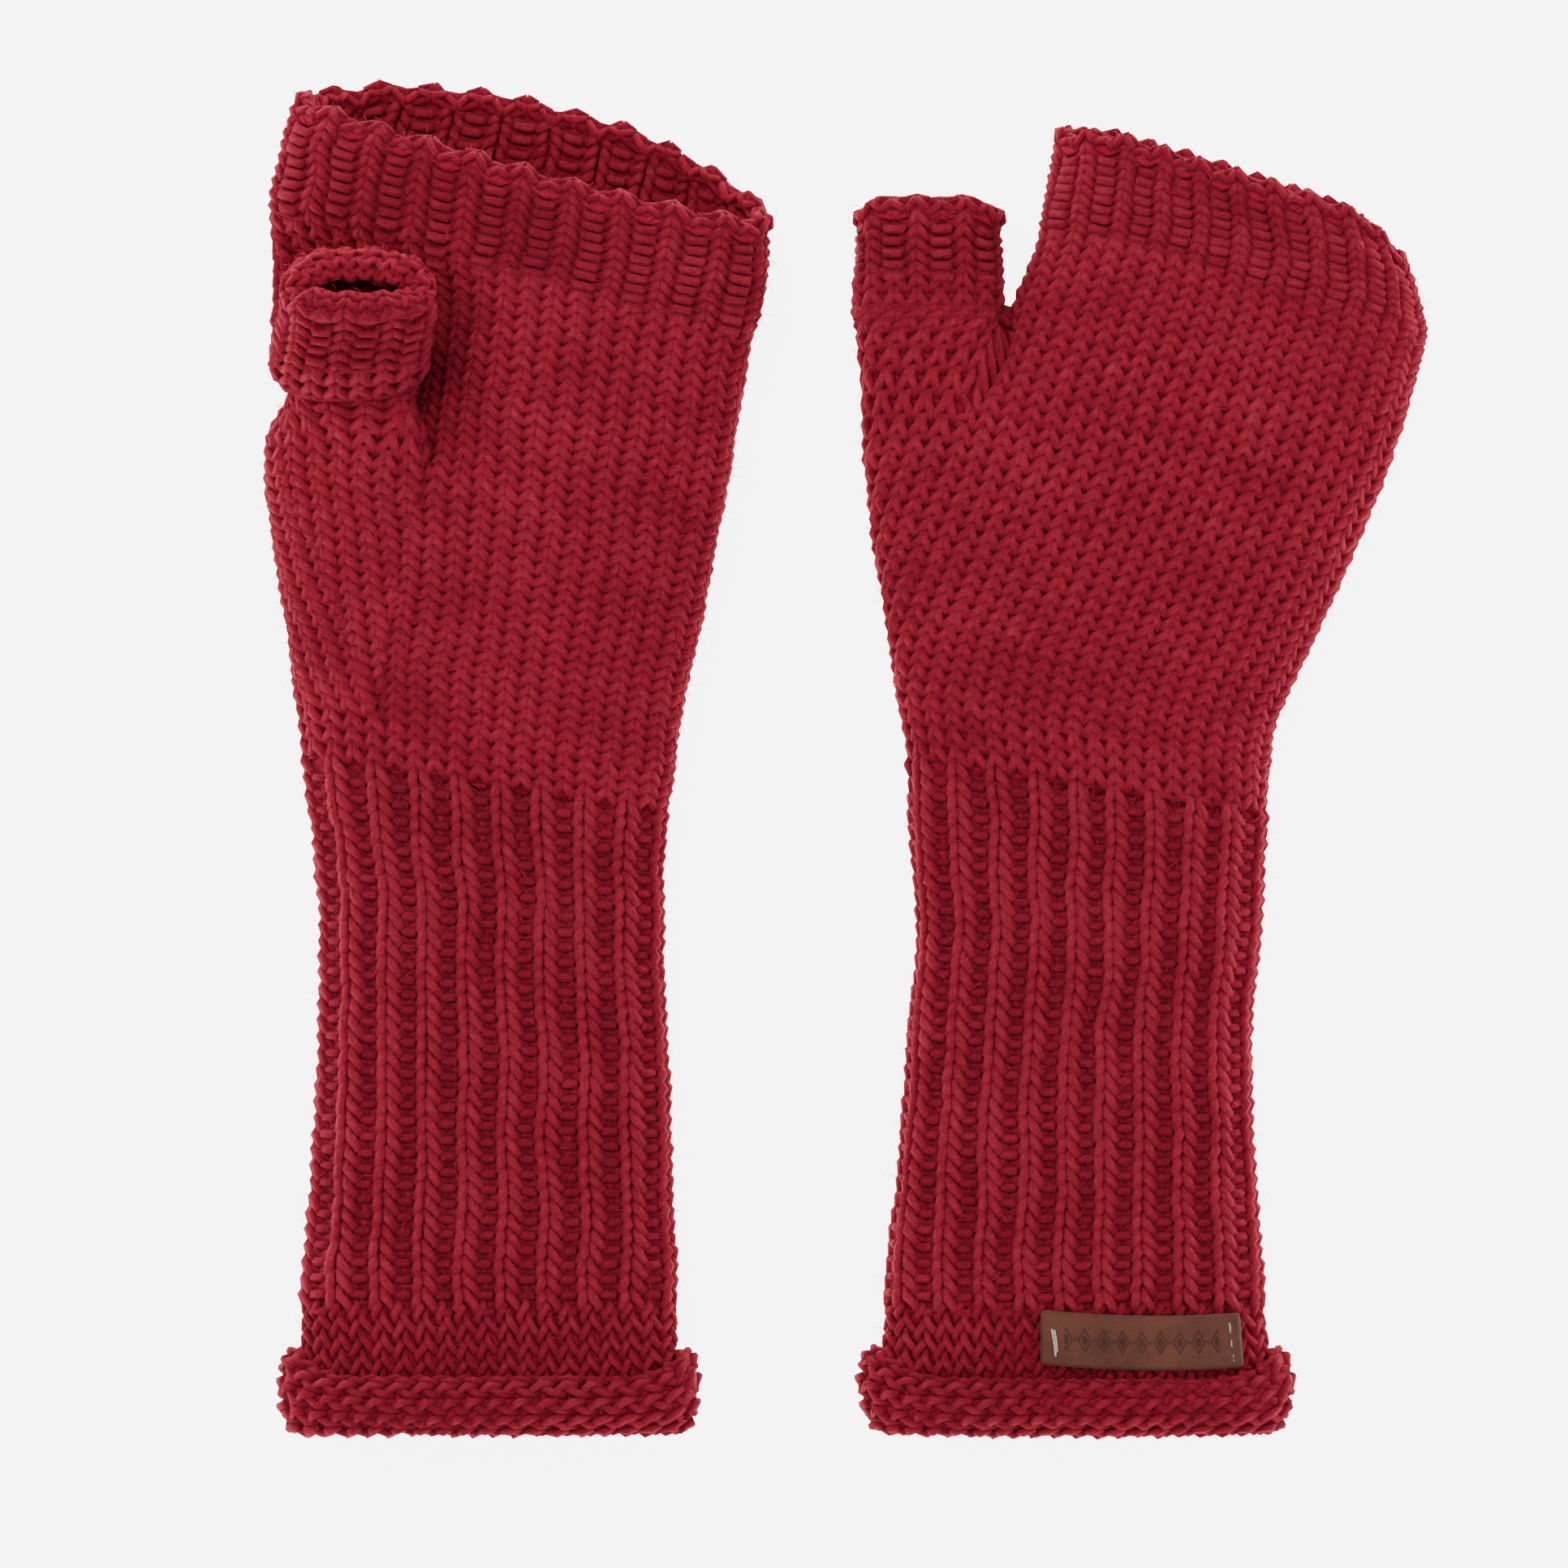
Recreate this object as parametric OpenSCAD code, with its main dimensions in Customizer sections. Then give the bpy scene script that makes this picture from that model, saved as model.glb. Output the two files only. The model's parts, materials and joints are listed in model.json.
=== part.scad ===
// A pair of long knitted fingerless gloves, lying side by side.
// The left glove lies palm up with its thumb sleeve standing up from the palm.
// The right glove lies palm down with its thumb sleeve pointing along the hand.
// X runs across the pair, Y from the hems towards the fingers, Z up from the surface they lie on.

/* [Pair] */
// Distance between the middle lines of the two gloves
pair_pitch = 134; // [128:1:170]
// Length of a glove from the hem to the finger edge
glove_length = 304; // [285:1:320]
// Width of the ribbed forearm, measured flat
forearm_width = 80; // [76:1:84]

/* [Fabric] */
// Thickness of the knitted fabric
wall = 3.6; // [3:0.1:4.2]
// Clearance kept between pieces that only touch
touch_gap = 0.3; // [0.2:0.05:0.4]

/* [Rolled hem] */
// Height of the rolled edge along the glove
roll_height = 14; // [12:0.5:16]
// How far the roll stands out from the forearm
roll_depth = 6.5; // [5:0.5:7]

/* [Leather label] */
// Length of the label across the glove
label_length = 46; // [40:1:48]
// Height of the label along the glove
label_height = 12.4; // [11:0.2:12.6]
// Thickness of the leather
label_thickness = 1.4; // [1:0.1:1.8]
// Thickness of the thread that holds the label
thread_d = 0.9; // [0.7:0.1:1.1]

/* [Hidden] */
length_k = glove_length / 304;
width_k = forearm_width / 80;

// Heights up the glove where one kind of knitting ends and the next begins
hem_top = 29;
wrist_low = 156;
wrist_high = 168;
gusset_start = 180;
split_start = 226;
crotch = 256;
band_start = 278;
rim = 300;
cast_off_height = 4;

// How the gloves lie: height up the glove, left edge, right edge, underside, thickness,
// slope of the knitted rows, where that slope begins
left_plan = [
  [0, -42, 42, 6.5, 18, 0, -50],
  [14, -42.5, 42.5, 6.5, 19, 0, -50],
  [29, -43, 42.5, 4, 22.5, 0, -50],
  [52, -41.2, 41.6, 0, 26, 0.03, -50],
  [92, -39, 40.2, 0, 26, 0.07, -50],
  [117, -38.8, 39.3, 0, 26, 0.1, -50],
  [134, -40, 39.4, 0, 26, 0.12, -50],
  [156, -43.2, 40.6, 0, 26, 0.16, -50],
  [168, -44.6, 42.2, 0, 26.5, 0.2, -50],
  [180, -46.4, 43.2, 0, 27, 0.22, -50],
  [203, -49.8, 47.4, 0, 28, 0.24, -50],
  [226, -52, 51.8, 0, 29, 0.25, -50],
  [241, -51.6, 54.2, 0, 29, 0.25, -50],
  [256, -51, 56.4, 0, 28.5, 0.255, -50],
  [278, -50.4, 60.4, 0, 27, 0.265, -50],
  [288, -48.6, 63, 0, 27, 0.275, -50],
  [304, -43.5, 64, 0, 27, 0.28, -50]];
right_plan = [
  [0, -43, 43, 6.5, 18, 0, -50],
  [14, -44, 43.5, 6.5, 19, 0, -50],
  [29, -44.2, 42.6, 4, 22.5, 0, -50],
  [52, -41.8, 41.2, 0, 26, 0.03, -50],
  [92, -38.6, 39.4, 0, 26, 0.07, -50],
  [117, -36.8, 40.8, 0, 26, 0.1, -50],
  [134, -38, 42.4, 0, 26, 0.12, -50],
  [156, -39.2, 43.4, 0, 26, 0.16, -50],
  [168, -41, 43.9, 0, 26.5, 0.18, -50],
  [180, -43, 45.6, 0, 27, 0.2, -50],
  [203, -46.8, 54.4, 0, 28, 0.22, -47],
  [226, -49.4, 64.2, 0, 28.5, 0.24, -32],
  [241, -50.4, 70.4, 0, 28, 0.25, -22],
  [256, -51.6, 75.4, 0, 26.5, 0.255, -16],
  [278, -51.6, 79.6, 0, 24.5, 0.28, -16],
  [288, -51, 79, 0, 23.5, 0.3, -16],
  [304, -50, 74, 0, 22, 0.32, -16]];

// Left edge of the finger tube above the thumb
left_finger_edge = [[226, -52], [256, -51], [278, -50.4], [288, -48.6], [304, -43.5]];
right_finger_edge = [[226, -16.5], [256, -15.4], [266, -12.2], [278, -8.6], [304, -4]];

// Directions round the glove, in degrees, of the gusset's two borders: 90 is the top, 180 the thumb edge
left_borders = [[180, 117, 123], [203, 109, 138], [226, 103, 156], [241, 101, 163], [256, 100, 166]];
right_borders = [[180, 232, 238], [203, 196, 246], [226, 152, 251], [241, 132, 253], [256, 115, 255]];

// Thumb sleeve, from the crotch to its open end: middle of the root, direction, half width, half thickness
left_thumb = [[-31.5, 243, 25], [0, 0.58, 0.8146], 18.5, 10.6];
right_thumb = [[-34, 256, 12.4], [0, 1, 0], 17.8, 11.2];
left_thumb_seam = -90;
right_thumb_seam = 0;
left_hand_seam = 122;
right_hand_seam = 180;
thumb_length = 25.5;
thumb_root_length = 7.5;
thumb_rim_k = 0.94;

// How far the underside of the finger edge reaches past the top
left_mouth_tilt = 12;
right_mouth_tilt = 2;
tilt_start = 262;

// How far the upper side of the finger tube is pressed in behind the thumb sleeve
left_dent = 0.55;
right_dent = 0;
dent_rise = [222, 240];
dent_fall = [268, 283];
dent_reach = [26, 58];

// A glove's description, in one list for the modules
LEFT = [left_plan, left_finger_edge, left_borders, left_thumb, left_thumb_seam, left_hand_seam,
        left_mouth_tilt, -pair_pitch / 2, left_dent];
RIGHT = [right_plan, right_finger_edge, right_borders, right_thumb, right_thumb_seam, right_hand_seam,
         right_mouth_tilt, pair_pitch / 2, right_dent];

// The pair's box is centred on the origin by this shift
pair_shift = [-13.8, -155.15, 0];

// Label: its middle on the right glove, its tilt, and each thread's middle and length
label_place = [14, 22, 27];
label_tip = 4;
label_corner = 1;
label_stitches = [[-19.5, 0, 5], [20.5, 0, 9]];
hole_room = 0.15;
thread_slack = 0.15;
thread_below = 0.1;

// Room left where one kind of knitting meets the next
join_gap = 0.1;

around = 28;
patch_around = 24;
gusset_around = 12;

function column(table, c) = [for (row = table) [row[0], row[c]]];
function smooth(a, b, v) = let (t = min(1, max(0, (v - a) / (b - a)))) t * t * (3 - 2 * t);
function positive(d) = (d + sqrt(d * d + 64)) / 2;
function across(a) = sign(cos(a)) * pow(abs(cos(a)), 0.8);
function up(a) = sin(a) >= 0 ? pow(sin(a), 0.85) : -min(1, 1.25 * pow(-sin(a), 0.85));

// The knitted rows slope down towards the little finger, and the mouth is longer underneath
function row_y(g, v, x, a) =
  let (slope = lookup(v, column(g[0], 5)), kink = lookup(v, column(g[0], 6)))
  v - slope * positive(x - kink) - g[6] * up(a) / 2 * smooth(tilt_start, rim, v)
    + g[6] / 2 * smooth(tilt_start, rim, v);

// A point on an oval section of the glove, moved out from the fabric's outside by out
function pressed(dent, v, from_edge) =
  1 - dent * smooth(dent_rise[0], dent_rise[1], v) * (1 - smooth(dent_fall[0], dent_fall[1], v))
    * (1 - smooth(dent_reach[0], dent_reach[1], from_edge));
function oval(g, v, left, right, a, out, dent) =
  let (bottom = lookup(v, column(g[0], 3)), height = lookup(v, column(g[0], 4)),
       x = (left + right) / 2 + ((right - left) / 2 + out) * across(a),
       top = height * pressed(dent, v, x - left) - height / 2,
       z = bottom + height / 2 + ((up(a) > 0 ? top : height / 2) + out) * up(a))
  [x, row_y(g, v, x, a), z];

function body_point(g, v, a, out, dent = 0) =
  oval(g, v, lookup(v, column(g[0], 1)), lookup(v, column(g[0], 2)), a, out, dent);
function finger_point(g, v, a, out) =
  oval(g, v, lookup(v, g[1]), lookup(v, column(g[0], 2)), a, out, g[8]);

// A point on the thumb sleeve, along metres up from its root
function thumb_point(g, along, a, out) =
  let (root = g[3][0], dir = g[3][1],
       k = 1 - (1 - thumb_rim_k) * along / thumb_length,
       x = (g[3][2] * k + out) * across(a),
       t = (g[3][3] * k + out) * sign(sin(a)) * pow(abs(sin(a)), 0.85))
  root + dir * along + [x, -t * dir[2], t * dir[1]];

// Palm and gusset share the section below the crotch, and part into two tubes at it
function palm_point(g, v, f, out) =
  let (front = lookup(v, column(g[2], 1)), back = lookup(v, column(g[2], 2)), w = smooth(split_start, crotch, v),
       gap = 0.8, low = body_point(g, v, front - gap + f * (back - 360 - front + 2 * gap), out, g[8]),
       high = finger_point(g, v, g[5] - gap - f * (360 - 2 * gap), out))
  low * (1 - w) + high * w;
function gusset_point(g, v, f, out) =
  let (front = lookup(v, column(g[2], 1)), back = lookup(v, column(g[2], 2)), w = smooth(split_start, crotch, v),
       gap = 0.8, low = body_point(g, v, front + gap + f * (back - front - 2 * gap), out * (1 - w)),
       high = thumb_point(g, v - crotch, g[4] + gap + f * (360 - 2 * gap), out))
  low * (1 - w) + high * w;

function scaled(p) = [p[0] * width_k, p[1] * length_k, p[2]];

// Closed ring of fabric: a closed profile of points, each with its own ring round the tube
module ring_solid(rows) {
  m = len(rows);
  n = len(rows[0]);
  polyhedron(
    points = [for (r = rows) for (p = r) scaled(p)],
    faces = [for (i = [0 : m - 1]) for (j = [0 : n - 1])
      let (i2 = (i + 1) % m, j2 = (j + 1) % n)
      each [[i * n + j, i * n + j2, i2 * n + j2], [i * n + j, i2 * n + j2, i2 * n + j]]]);
}

// Piece of fabric that doesn't go all the way round: an inside and an outside grid and four edges
module patch_solid(inner, outer) {
  m = len(inner);
  n = len(inner[0]);
  k = m * n;
  polyhedron(
    points = concat([for (r = inner) for (p = r) scaled(p)], [for (r = outer) for (p = r) scaled(p)]),
    faces = concat(
      [for (i = [0 : m - 2]) for (j = [0 : n - 2])
        each [[i * n + j, i * n + j + 1, (i + 1) * n + j + 1], [i * n + j, (i + 1) * n + j + 1, (i + 1) * n + j]]],
      [for (i = [0 : m - 2]) for (j = [0 : n - 2])
        each [[k + i * n + j, k + (i + 1) * n + j + 1, k + i * n + j + 1],
              [k + i * n + j, k + (i + 1) * n + j, k + (i + 1) * n + j + 1]]],
      [for (i = [0 : m - 2])
        each [[i * n, (i + 1) * n, k + (i + 1) * n], [i * n, k + (i + 1) * n, k + i * n],
              [i * n + n - 1, k + (i + 1) * n + n - 1, (i + 1) * n + n - 1],
              [i * n + n - 1, k + i * n + n - 1, k + (i + 1) * n + n - 1]]],
      [for (j = [0 : n - 2])
        each [[j, k + j, k + j + 1], [j, k + j + 1, j + 1],
              [(m - 1) * n + j, k + (m - 1) * n + j + 1, k + (m - 1) * n + j],
              [(m - 1) * n + j, (m - 1) * n + j + 1, k + (m - 1) * n + j + 1]]]));
}

module place(g) { translate(pair_shift + [g[7], 0, 0]) children(); }

// A tube of fabric through the given heights, its inside one wall thickness in
module body_tube(g, heights) {
  rows = concat(
    [for (v = heights) [for (j = [0 : around - 1]) body_point(g, v, j * 360 / around, 0)]],
    [for (i = [len(heights) - 1 : -1 : 0])
      [for (j = [0 : around - 1]) body_point(g, heights[i], j * 360 / around, -wall)]]);
  place(g) ring_solid(rows);
}
module finger_tube(g, heights) {
  rows = concat(
    [for (v = heights) [for (j = [0 : around - 1]) finger_point(g, v, j * 360 / around, 0)]],
    [for (i = [len(heights) - 1 : -1 : 0])
      [for (j = [0 : around - 1]) finger_point(g, heights[i], j * 360 / around, -wall)]]);
  place(g) ring_solid(rows);
}
module thumb_tube(g, heights) {
  rows = concat(
    [for (v = heights) [for (j = [0 : patch_around - 1]) thumb_point(g, v, j * 360 / patch_around, 0)]],
    [for (i = [len(heights) - 1 : -1 : 0])
      [for (j = [0 : patch_around - 1]) thumb_point(g, heights[i], j * 360 / patch_around, -wall)]]);
  place(g) ring_solid(rows);
}

// The hem comes down the forearm, turns out and rolls up against itself
module rolled_hem(g) {
  roll_steps = 7;
  mid = roll_height / 2;
  profile = concat(
    [[hem_top, 0], [roll_height + 2, 0]],
    [for (i = [0 : roll_steps])
      let (t = i * 180 / roll_steps) [mid + mid * cos(t), roll_depth * sin(t)]],
    [[1.2, -wall], [roll_height, -wall], [hem_top, -wall]]);
  rows = [for (p = profile)
    [for (j = [0 : around - 1]) body_point(g, p[0], -j * 360 / around, p[1])]];
  place(g) ring_solid(rows);
}

module palm_section(g) {
  heights = [wrist_high + touch_gap, gusset_start, 203, split_start, 236, 246, crotch];
  place(g) patch_solid(
    [for (v = heights) [for (j = [0 : patch_around]) palm_point(g, v, j / patch_around, -wall)]],
    [for (v = heights) [for (j = [0 : patch_around]) palm_point(g, v, j / patch_around, 0)]]);
}
module thumb_gusset(g) {
  heights = [wrist_high + touch_gap, gusset_start, 203, split_start, 236, 246, crotch];
  place(g) patch_solid(
    [for (v = heights) [for (j = [0 : gusset_around]) gusset_point(g, v, 1 - j / gusset_around, -wall)]],
    [for (v = heights) [for (j = [0 : gusset_around]) gusset_point(g, v, 1 - j / gusset_around, 0)]]);
}

module forearm_rib(g) { body_tube(g, [hem_top + join_gap, 52, 92, 134, wrist_low - join_gap]); }
module wrist_rows(g) { body_tube(g, [wrist_low, wrist_high]); }
module finger_section(g) { finger_tube(g, [crotch + touch_gap, 266, band_start - join_gap]); }
module finger_band(g) { finger_tube(g, [band_start, 288, rim - join_gap]); }
module finger_cast_off(g) { finger_tube(g, [rim, rim + cast_off_height]); }
module thumb_root(g) { thumb_tube(g, [touch_gap, thumb_root_length]); }
module thumb_band(g) {
  thumb_tube(g, [thumb_root_length + touch_gap, thumb_length - cast_off_height - join_gap]);
}
module thumb_cast_off(g) { thumb_tube(g, [thumb_length - cast_off_height, thumb_length]); }

// The label lies on the rows above the roll, and a thread holds it at each end
module on_label() { translate(pair_shift + RIGHT[7] * [1, 0, 0] + label_place) rotate([label_tip, 0, 0]) children(); }
module stitch_holes() {
  for (s = label_stitches)
    for (end = [-1, 1])
      translate([s[0], s[1] + end * s[2] / 2, -label_thickness])
        cylinder(r = thread_d / 2 + hole_room, h = 3 * label_thickness, $fn = 24);
}
module leather_label() {
  on_label() difference() {
    linear_extrude(label_thickness)
      offset(label_corner, $fn = 24)
        square([label_length - 2 * label_corner, label_height - 2 * label_corner], center = true);
    stitch_holes();
  }
}
module label_thread(s) {
  leg = label_thickness + thread_d / 2 + thread_slack;
  on_label() translate([s[0], s[1], leg - thread_below]) {
    rotate([90, 0, 0]) cylinder(d = thread_d, h = s[2], center = true, $fn = 24);
    for (end = [-1, 1])
      translate([0, end * s[2] / 2, 0]) {
        sphere(d = thread_d, $fn = 24);
        translate([0, 0, -leg]) cylinder(d = thread_d, h = leg, $fn = 24);
      }
  }
}

yarn = "firebrick";
color(yarn) rolled_hem(LEFT);  // left_rolled_hem
color(yarn) forearm_rib(LEFT);  // left_forearm_rib
color(yarn) wrist_rows(LEFT);  // left_wrist_rows
color(yarn) palm_section(LEFT);  // left_palm_section
color(yarn) thumb_gusset(LEFT);  // left_thumb_gusset
color(yarn) finger_section(LEFT);  // left_finger_section
color(yarn) finger_band(LEFT);  // left_finger_band
color(yarn) finger_cast_off(LEFT);  // left_finger_cast_off
color(yarn) thumb_root(LEFT);  // left_thumb_root
color(yarn) thumb_band(LEFT);  // left_thumb_band
color(yarn) thumb_cast_off(LEFT);  // left_thumb_cast_off
color(yarn) rolled_hem(RIGHT);  // right_rolled_hem
color(yarn) forearm_rib(RIGHT);  // right_forearm_rib
color(yarn) wrist_rows(RIGHT);  // right_wrist_rows
color(yarn) palm_section(RIGHT);  // right_palm_section
color(yarn) thumb_gusset(RIGHT);  // right_thumb_gusset
color(yarn) finger_section(RIGHT);  // right_finger_section
color(yarn) finger_band(RIGHT);  // right_finger_band
color(yarn) finger_cast_off(RIGHT);  // right_finger_cast_off
color(yarn) thumb_root(RIGHT);  // right_thumb_root
color(yarn) thumb_band(RIGHT);  // right_thumb_band
color(yarn) thumb_cast_off(RIGHT);  // right_thumb_cast_off
color("saddlebrown") leather_label();
color("linen") label_thread(label_stitches[0]);  // label_thread_left
color("linen") label_thread(label_stitches[1]);  // label_thread_right
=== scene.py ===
"""A pair of long knitted fingerless gloves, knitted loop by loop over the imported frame."""

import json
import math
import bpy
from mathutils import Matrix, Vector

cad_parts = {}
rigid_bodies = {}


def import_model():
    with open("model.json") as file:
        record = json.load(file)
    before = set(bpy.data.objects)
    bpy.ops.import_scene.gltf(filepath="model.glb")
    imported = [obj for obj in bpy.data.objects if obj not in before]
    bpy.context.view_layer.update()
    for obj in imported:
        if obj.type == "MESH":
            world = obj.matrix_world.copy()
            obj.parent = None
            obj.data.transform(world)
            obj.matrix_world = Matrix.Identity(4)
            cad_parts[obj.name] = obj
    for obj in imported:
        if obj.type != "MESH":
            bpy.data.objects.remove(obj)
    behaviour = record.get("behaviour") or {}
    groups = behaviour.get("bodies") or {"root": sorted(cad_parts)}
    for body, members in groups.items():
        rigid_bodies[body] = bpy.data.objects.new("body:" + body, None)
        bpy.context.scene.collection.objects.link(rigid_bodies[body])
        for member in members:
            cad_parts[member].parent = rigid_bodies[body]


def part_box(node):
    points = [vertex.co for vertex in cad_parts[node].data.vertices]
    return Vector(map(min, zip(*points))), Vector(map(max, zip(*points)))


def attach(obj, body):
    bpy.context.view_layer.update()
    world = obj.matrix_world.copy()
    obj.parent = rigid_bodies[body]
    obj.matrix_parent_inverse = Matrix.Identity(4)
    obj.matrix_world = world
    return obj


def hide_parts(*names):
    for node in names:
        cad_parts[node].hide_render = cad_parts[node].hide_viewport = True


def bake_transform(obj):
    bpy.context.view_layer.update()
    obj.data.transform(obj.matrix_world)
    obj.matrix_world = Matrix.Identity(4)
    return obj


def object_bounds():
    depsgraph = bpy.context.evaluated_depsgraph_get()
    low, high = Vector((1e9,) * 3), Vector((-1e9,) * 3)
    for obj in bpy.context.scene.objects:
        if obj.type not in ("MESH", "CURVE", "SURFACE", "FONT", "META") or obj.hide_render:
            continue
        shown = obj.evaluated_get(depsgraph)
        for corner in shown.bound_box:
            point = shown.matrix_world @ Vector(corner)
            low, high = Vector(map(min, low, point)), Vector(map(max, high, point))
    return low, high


bl_info = {
    "name": "Knitted Fingerless Gloves",
    "version": (1, 0, 0),
    "blender": (4, 5, 0),
    "location": "View3D > Sidebar > Gloves",
    "description": "Knits a pair of long fingerless gloves, sews on the label and sets up the stage",
    "category": "Add Mesh",
}

import bpy
import numpy as np
from bpy.props import FloatProperty, FloatVectorProperty, PointerProperty
from bpy.types import Operator, Panel, PropertyGroup
from mathutils import Vector

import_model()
CAD_BOX = [list(corner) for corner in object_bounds()]
MM = 0.001

# Heights up the glove, in millimetres, where one kind of knitting ends and the next begins
HEM_TOP = 29.0
WRIST_LOW = 156.0
WRIST_HIGH = 168.0
GUSSET_START = 174.0
SPLIT_START = 226.0
CROTCH = 256.0
BAND_START = 278.0
RIM = 300.0
FINGER_EDGE = 304.0

# Heights up the thumb sleeve, how much it narrows on the way, and how far its edge's corners are rounded
THUMB_ROOT = 7.5
THUMB_RIM = 21.5
THUMB_EDGE = 25.5
THUMB_TAPER = 0.06
THUMB_CORNER = 2.2

# Knitted places are stored in a UV map: one hundredth of its width is one stitch
LATTICE = 100.0
WALE_ORIGIN = 50.0
COURSE_ORIGIN = 5.0

# How finely the surfaces under the stitches are drawn, and how many courses they run on past both ends
ROWS_PER_COURSE = 3
SPARE_COURSES = 1.6
ARC_SAMPLES = 240
TUBE_COLUMNS = 96
TUBE_SAMPLES = 4
PALM_COLUMNS = 48
GUSSET_COLUMNS = 24

# The gusset's rows cross the crotch in this many columns, and end this far under the palm's edges
WEB_COLUMNS = 5
WEB_TUCK = 0.8


# ---------------------------------------------------------------- outlines

# A plan's columns after the first one, which is the height up the glove
LEFT_EDGE, RIGHT_EDGE, UNDERSIDE, THICKNESS, SLOPE, SLOPE_START = range(1, 7)


class Glove:
    """One glove's outline: millimetres, in the glove's own frame, before it is moved to its place."""

    def __init__(self, side, plan, borders, finger_edge, thumb_root, thumb_way, thumb_half, thumb_lean,
                 hand_seam, mouth_tilt, mouth_arch, mouth_corners, dent, wales):
        self.side = side
        self.plan = np.array(plan, dtype=float)
        self.borders = np.array(borders, dtype=float)
        self.finger_edge = np.array(finger_edge, dtype=float)
        self.thumb_root = np.array(thumb_root, dtype=float)
        self.thumb_way = np.array(thumb_way, dtype=float)
        self.thumb_half = thumb_half
        self.thumb_lean = thumb_lean
        self.hand_seam = hand_seam
        self.mouth_tilt = mouth_tilt
        self.mouth_arch = mouth_arch
        self.mouth_corners = mouth_corners
        self.dent = dent
        self.wales = wales
        low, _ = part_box(f"{side}_forearm_rib")
        on_arm = (self.plan[:, 0] >= HEM_TOP) & (self.plan[:, 0] <= WRIST_LOW)
        arm_left = self.plan[on_arm, LEFT_EDGE].min()
        self.place = np.array([low[0] / MM - arm_left, CAD_BOX[0][1] / MM, 0.0])


# Height up the glove, left edge, right edge, underside, thickness, slope of the rows, where it begins
LEFT_PLAN = [
    (0, -42, 42, 6.5, 18, 0, -50),
    (14, -42.5, 42.5, 6.5, 19, 0, -50),
    (29, -43, 42.5, 4, 22.5, 0, -50),
    (52, -41.2, 41.6, 0, 26, 0.03, -50),
    (92, -39, 40.2, 0, 26, 0.07, -50),
    (117, -38.8, 39.3, 0, 26, 0.1, -50),
    (134, -40, 39.4, 0, 26, 0.12, -50),
    (156, -43.2, 40.6, 0, 26, 0.16, -50),
    (168, -44.6, 42.2, 0, 26.5, 0.2, -50),
    (180, -46.4, 43.2, 0, 27, 0.22, -50),
    (203, -49.8, 47.4, 0, 28, 0.24, -50),
    (226, -52, 51.8, 0, 29, 0.25, -50),
    (241, -51.6, 54.2, 0, 29, 0.25, -50),
    (256, -51, 56.4, 0, 28.5, 0.255, -50),
    (278, -50.4, 60.4, 0, 27, 0.265, -50),
    (288, -48.6, 63, 0, 27, 0.275, -50),
    (304, -43.5, 64, 0, 27, 0.28, -50),
]
RIGHT_PLAN = [
    (0, -43, 43, 6.5, 18, 0, -50),
    (14, -44, 43.5, 6.5, 19, 0, -50),
    (29, -44.2, 42.6, 4, 22.5, 0, -50),
    (52, -41.8, 41.2, 0, 26, 0.03, -50),
    (92, -38.6, 39.4, 0, 26, 0.07, -50),
    (117, -36.8, 40.8, 0, 26, 0.1, -50),
    (134, -38, 42.4, 0, 26, 0.12, -50),
    (156, -39.2, 43.4, 0, 26, 0.16, -50),
    (168, -41, 43.9, 0, 26.5, 0.18, -50),
    (180, -43, 45.6, 0, 27, 0.2, -50),
    (203, -46.8, 54.4, 0, 28, 0.22, -47),
    (226, -49.4, 64.2, 0, 28.5, 0.24, -32),
    (241, -50.4, 70.4, 0, 28, 0.25, -22),
    (256, -51.6, 75.4, 0, 26.5, 0.255, -16),
    (278, -51.6, 79.6, 0, 24.5, 0.28, -16),
    (288, -51, 79, 0, 23.5, 0.3, -16),
    (304, -50, 74, 0, 22, 0.32, -16),
]

# Around the glove, in degrees, 90 is the upper side and 180 the thumb edge: the gusset's two borders
LEFT_BORDERS = [(174, 119.6, 120.4), (203, 109, 138), (226, 103, 156), (241, 101, 163), (256, 100, 166)]
RIGHT_BORDERS = [(174, 234.6, 235.4), (203, 226, 243), (226, 215, 250), (241, 207, 253), (256, 200, 255)]

GLOVES = {
    "left": Glove(
        "left", LEFT_PLAN, LEFT_BORDERS,
        finger_edge=[(226, -52), (256, -51), (278, -50.4), (288, -48.6), (304, -43.5)],
        thumb_root=(-31.5, 243, 25), thumb_way=(0, 0.58, 0.8146), thumb_half=(18.5, 10.6),
        thumb_lean=(3, 3.5), hand_seam=122, mouth_tilt=12, mouth_arch=6, mouth_corners=(0, 0), dent=0.55,
        wales={"arm": 38, "fingers": 42, "thumb": 16}),
    "right": Glove(
        "right", RIGHT_PLAN, RIGHT_BORDERS,
        finger_edge=[(226, -16.5), (256, -15.4), (266, -12.2), (278, -8.6), (304, -4)],
        thumb_root=(-34, 256, 12.4), thumb_way=(0, 1, 0), thumb_half=(17.8, 11.2),
        thumb_lean=(0, 0), hand_seam=180, mouth_tilt=2, mouth_arch=0, mouth_corners=(3, 7), dent=0.0,
        wales={"arm": 40, "fingers": 42, "thumb": 16}),
}

# Round the thumb sleeve, in degrees: where the left gusset's rows start, and where the right palm's rows end
LEFT_THUMB_SEAM = -90.0
RIGHT_THUMB_BORDER = 200.0

# Cross-section: how square its sides are, and how flat it lies underneath
SIDE_POWER = 0.8
CROWN_POWER = 0.85
FLAT_UNDERSIDE = 1.25

# The mouth tilts, and the finger tube is pressed in behind a thumb that stands up
TILT_START = 262.0
DENT_RISE = (222.0, 240.0)
DENT_FALL = (268.0, 283.0)
DENT_REACH = (26.0, 58.0)

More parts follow.
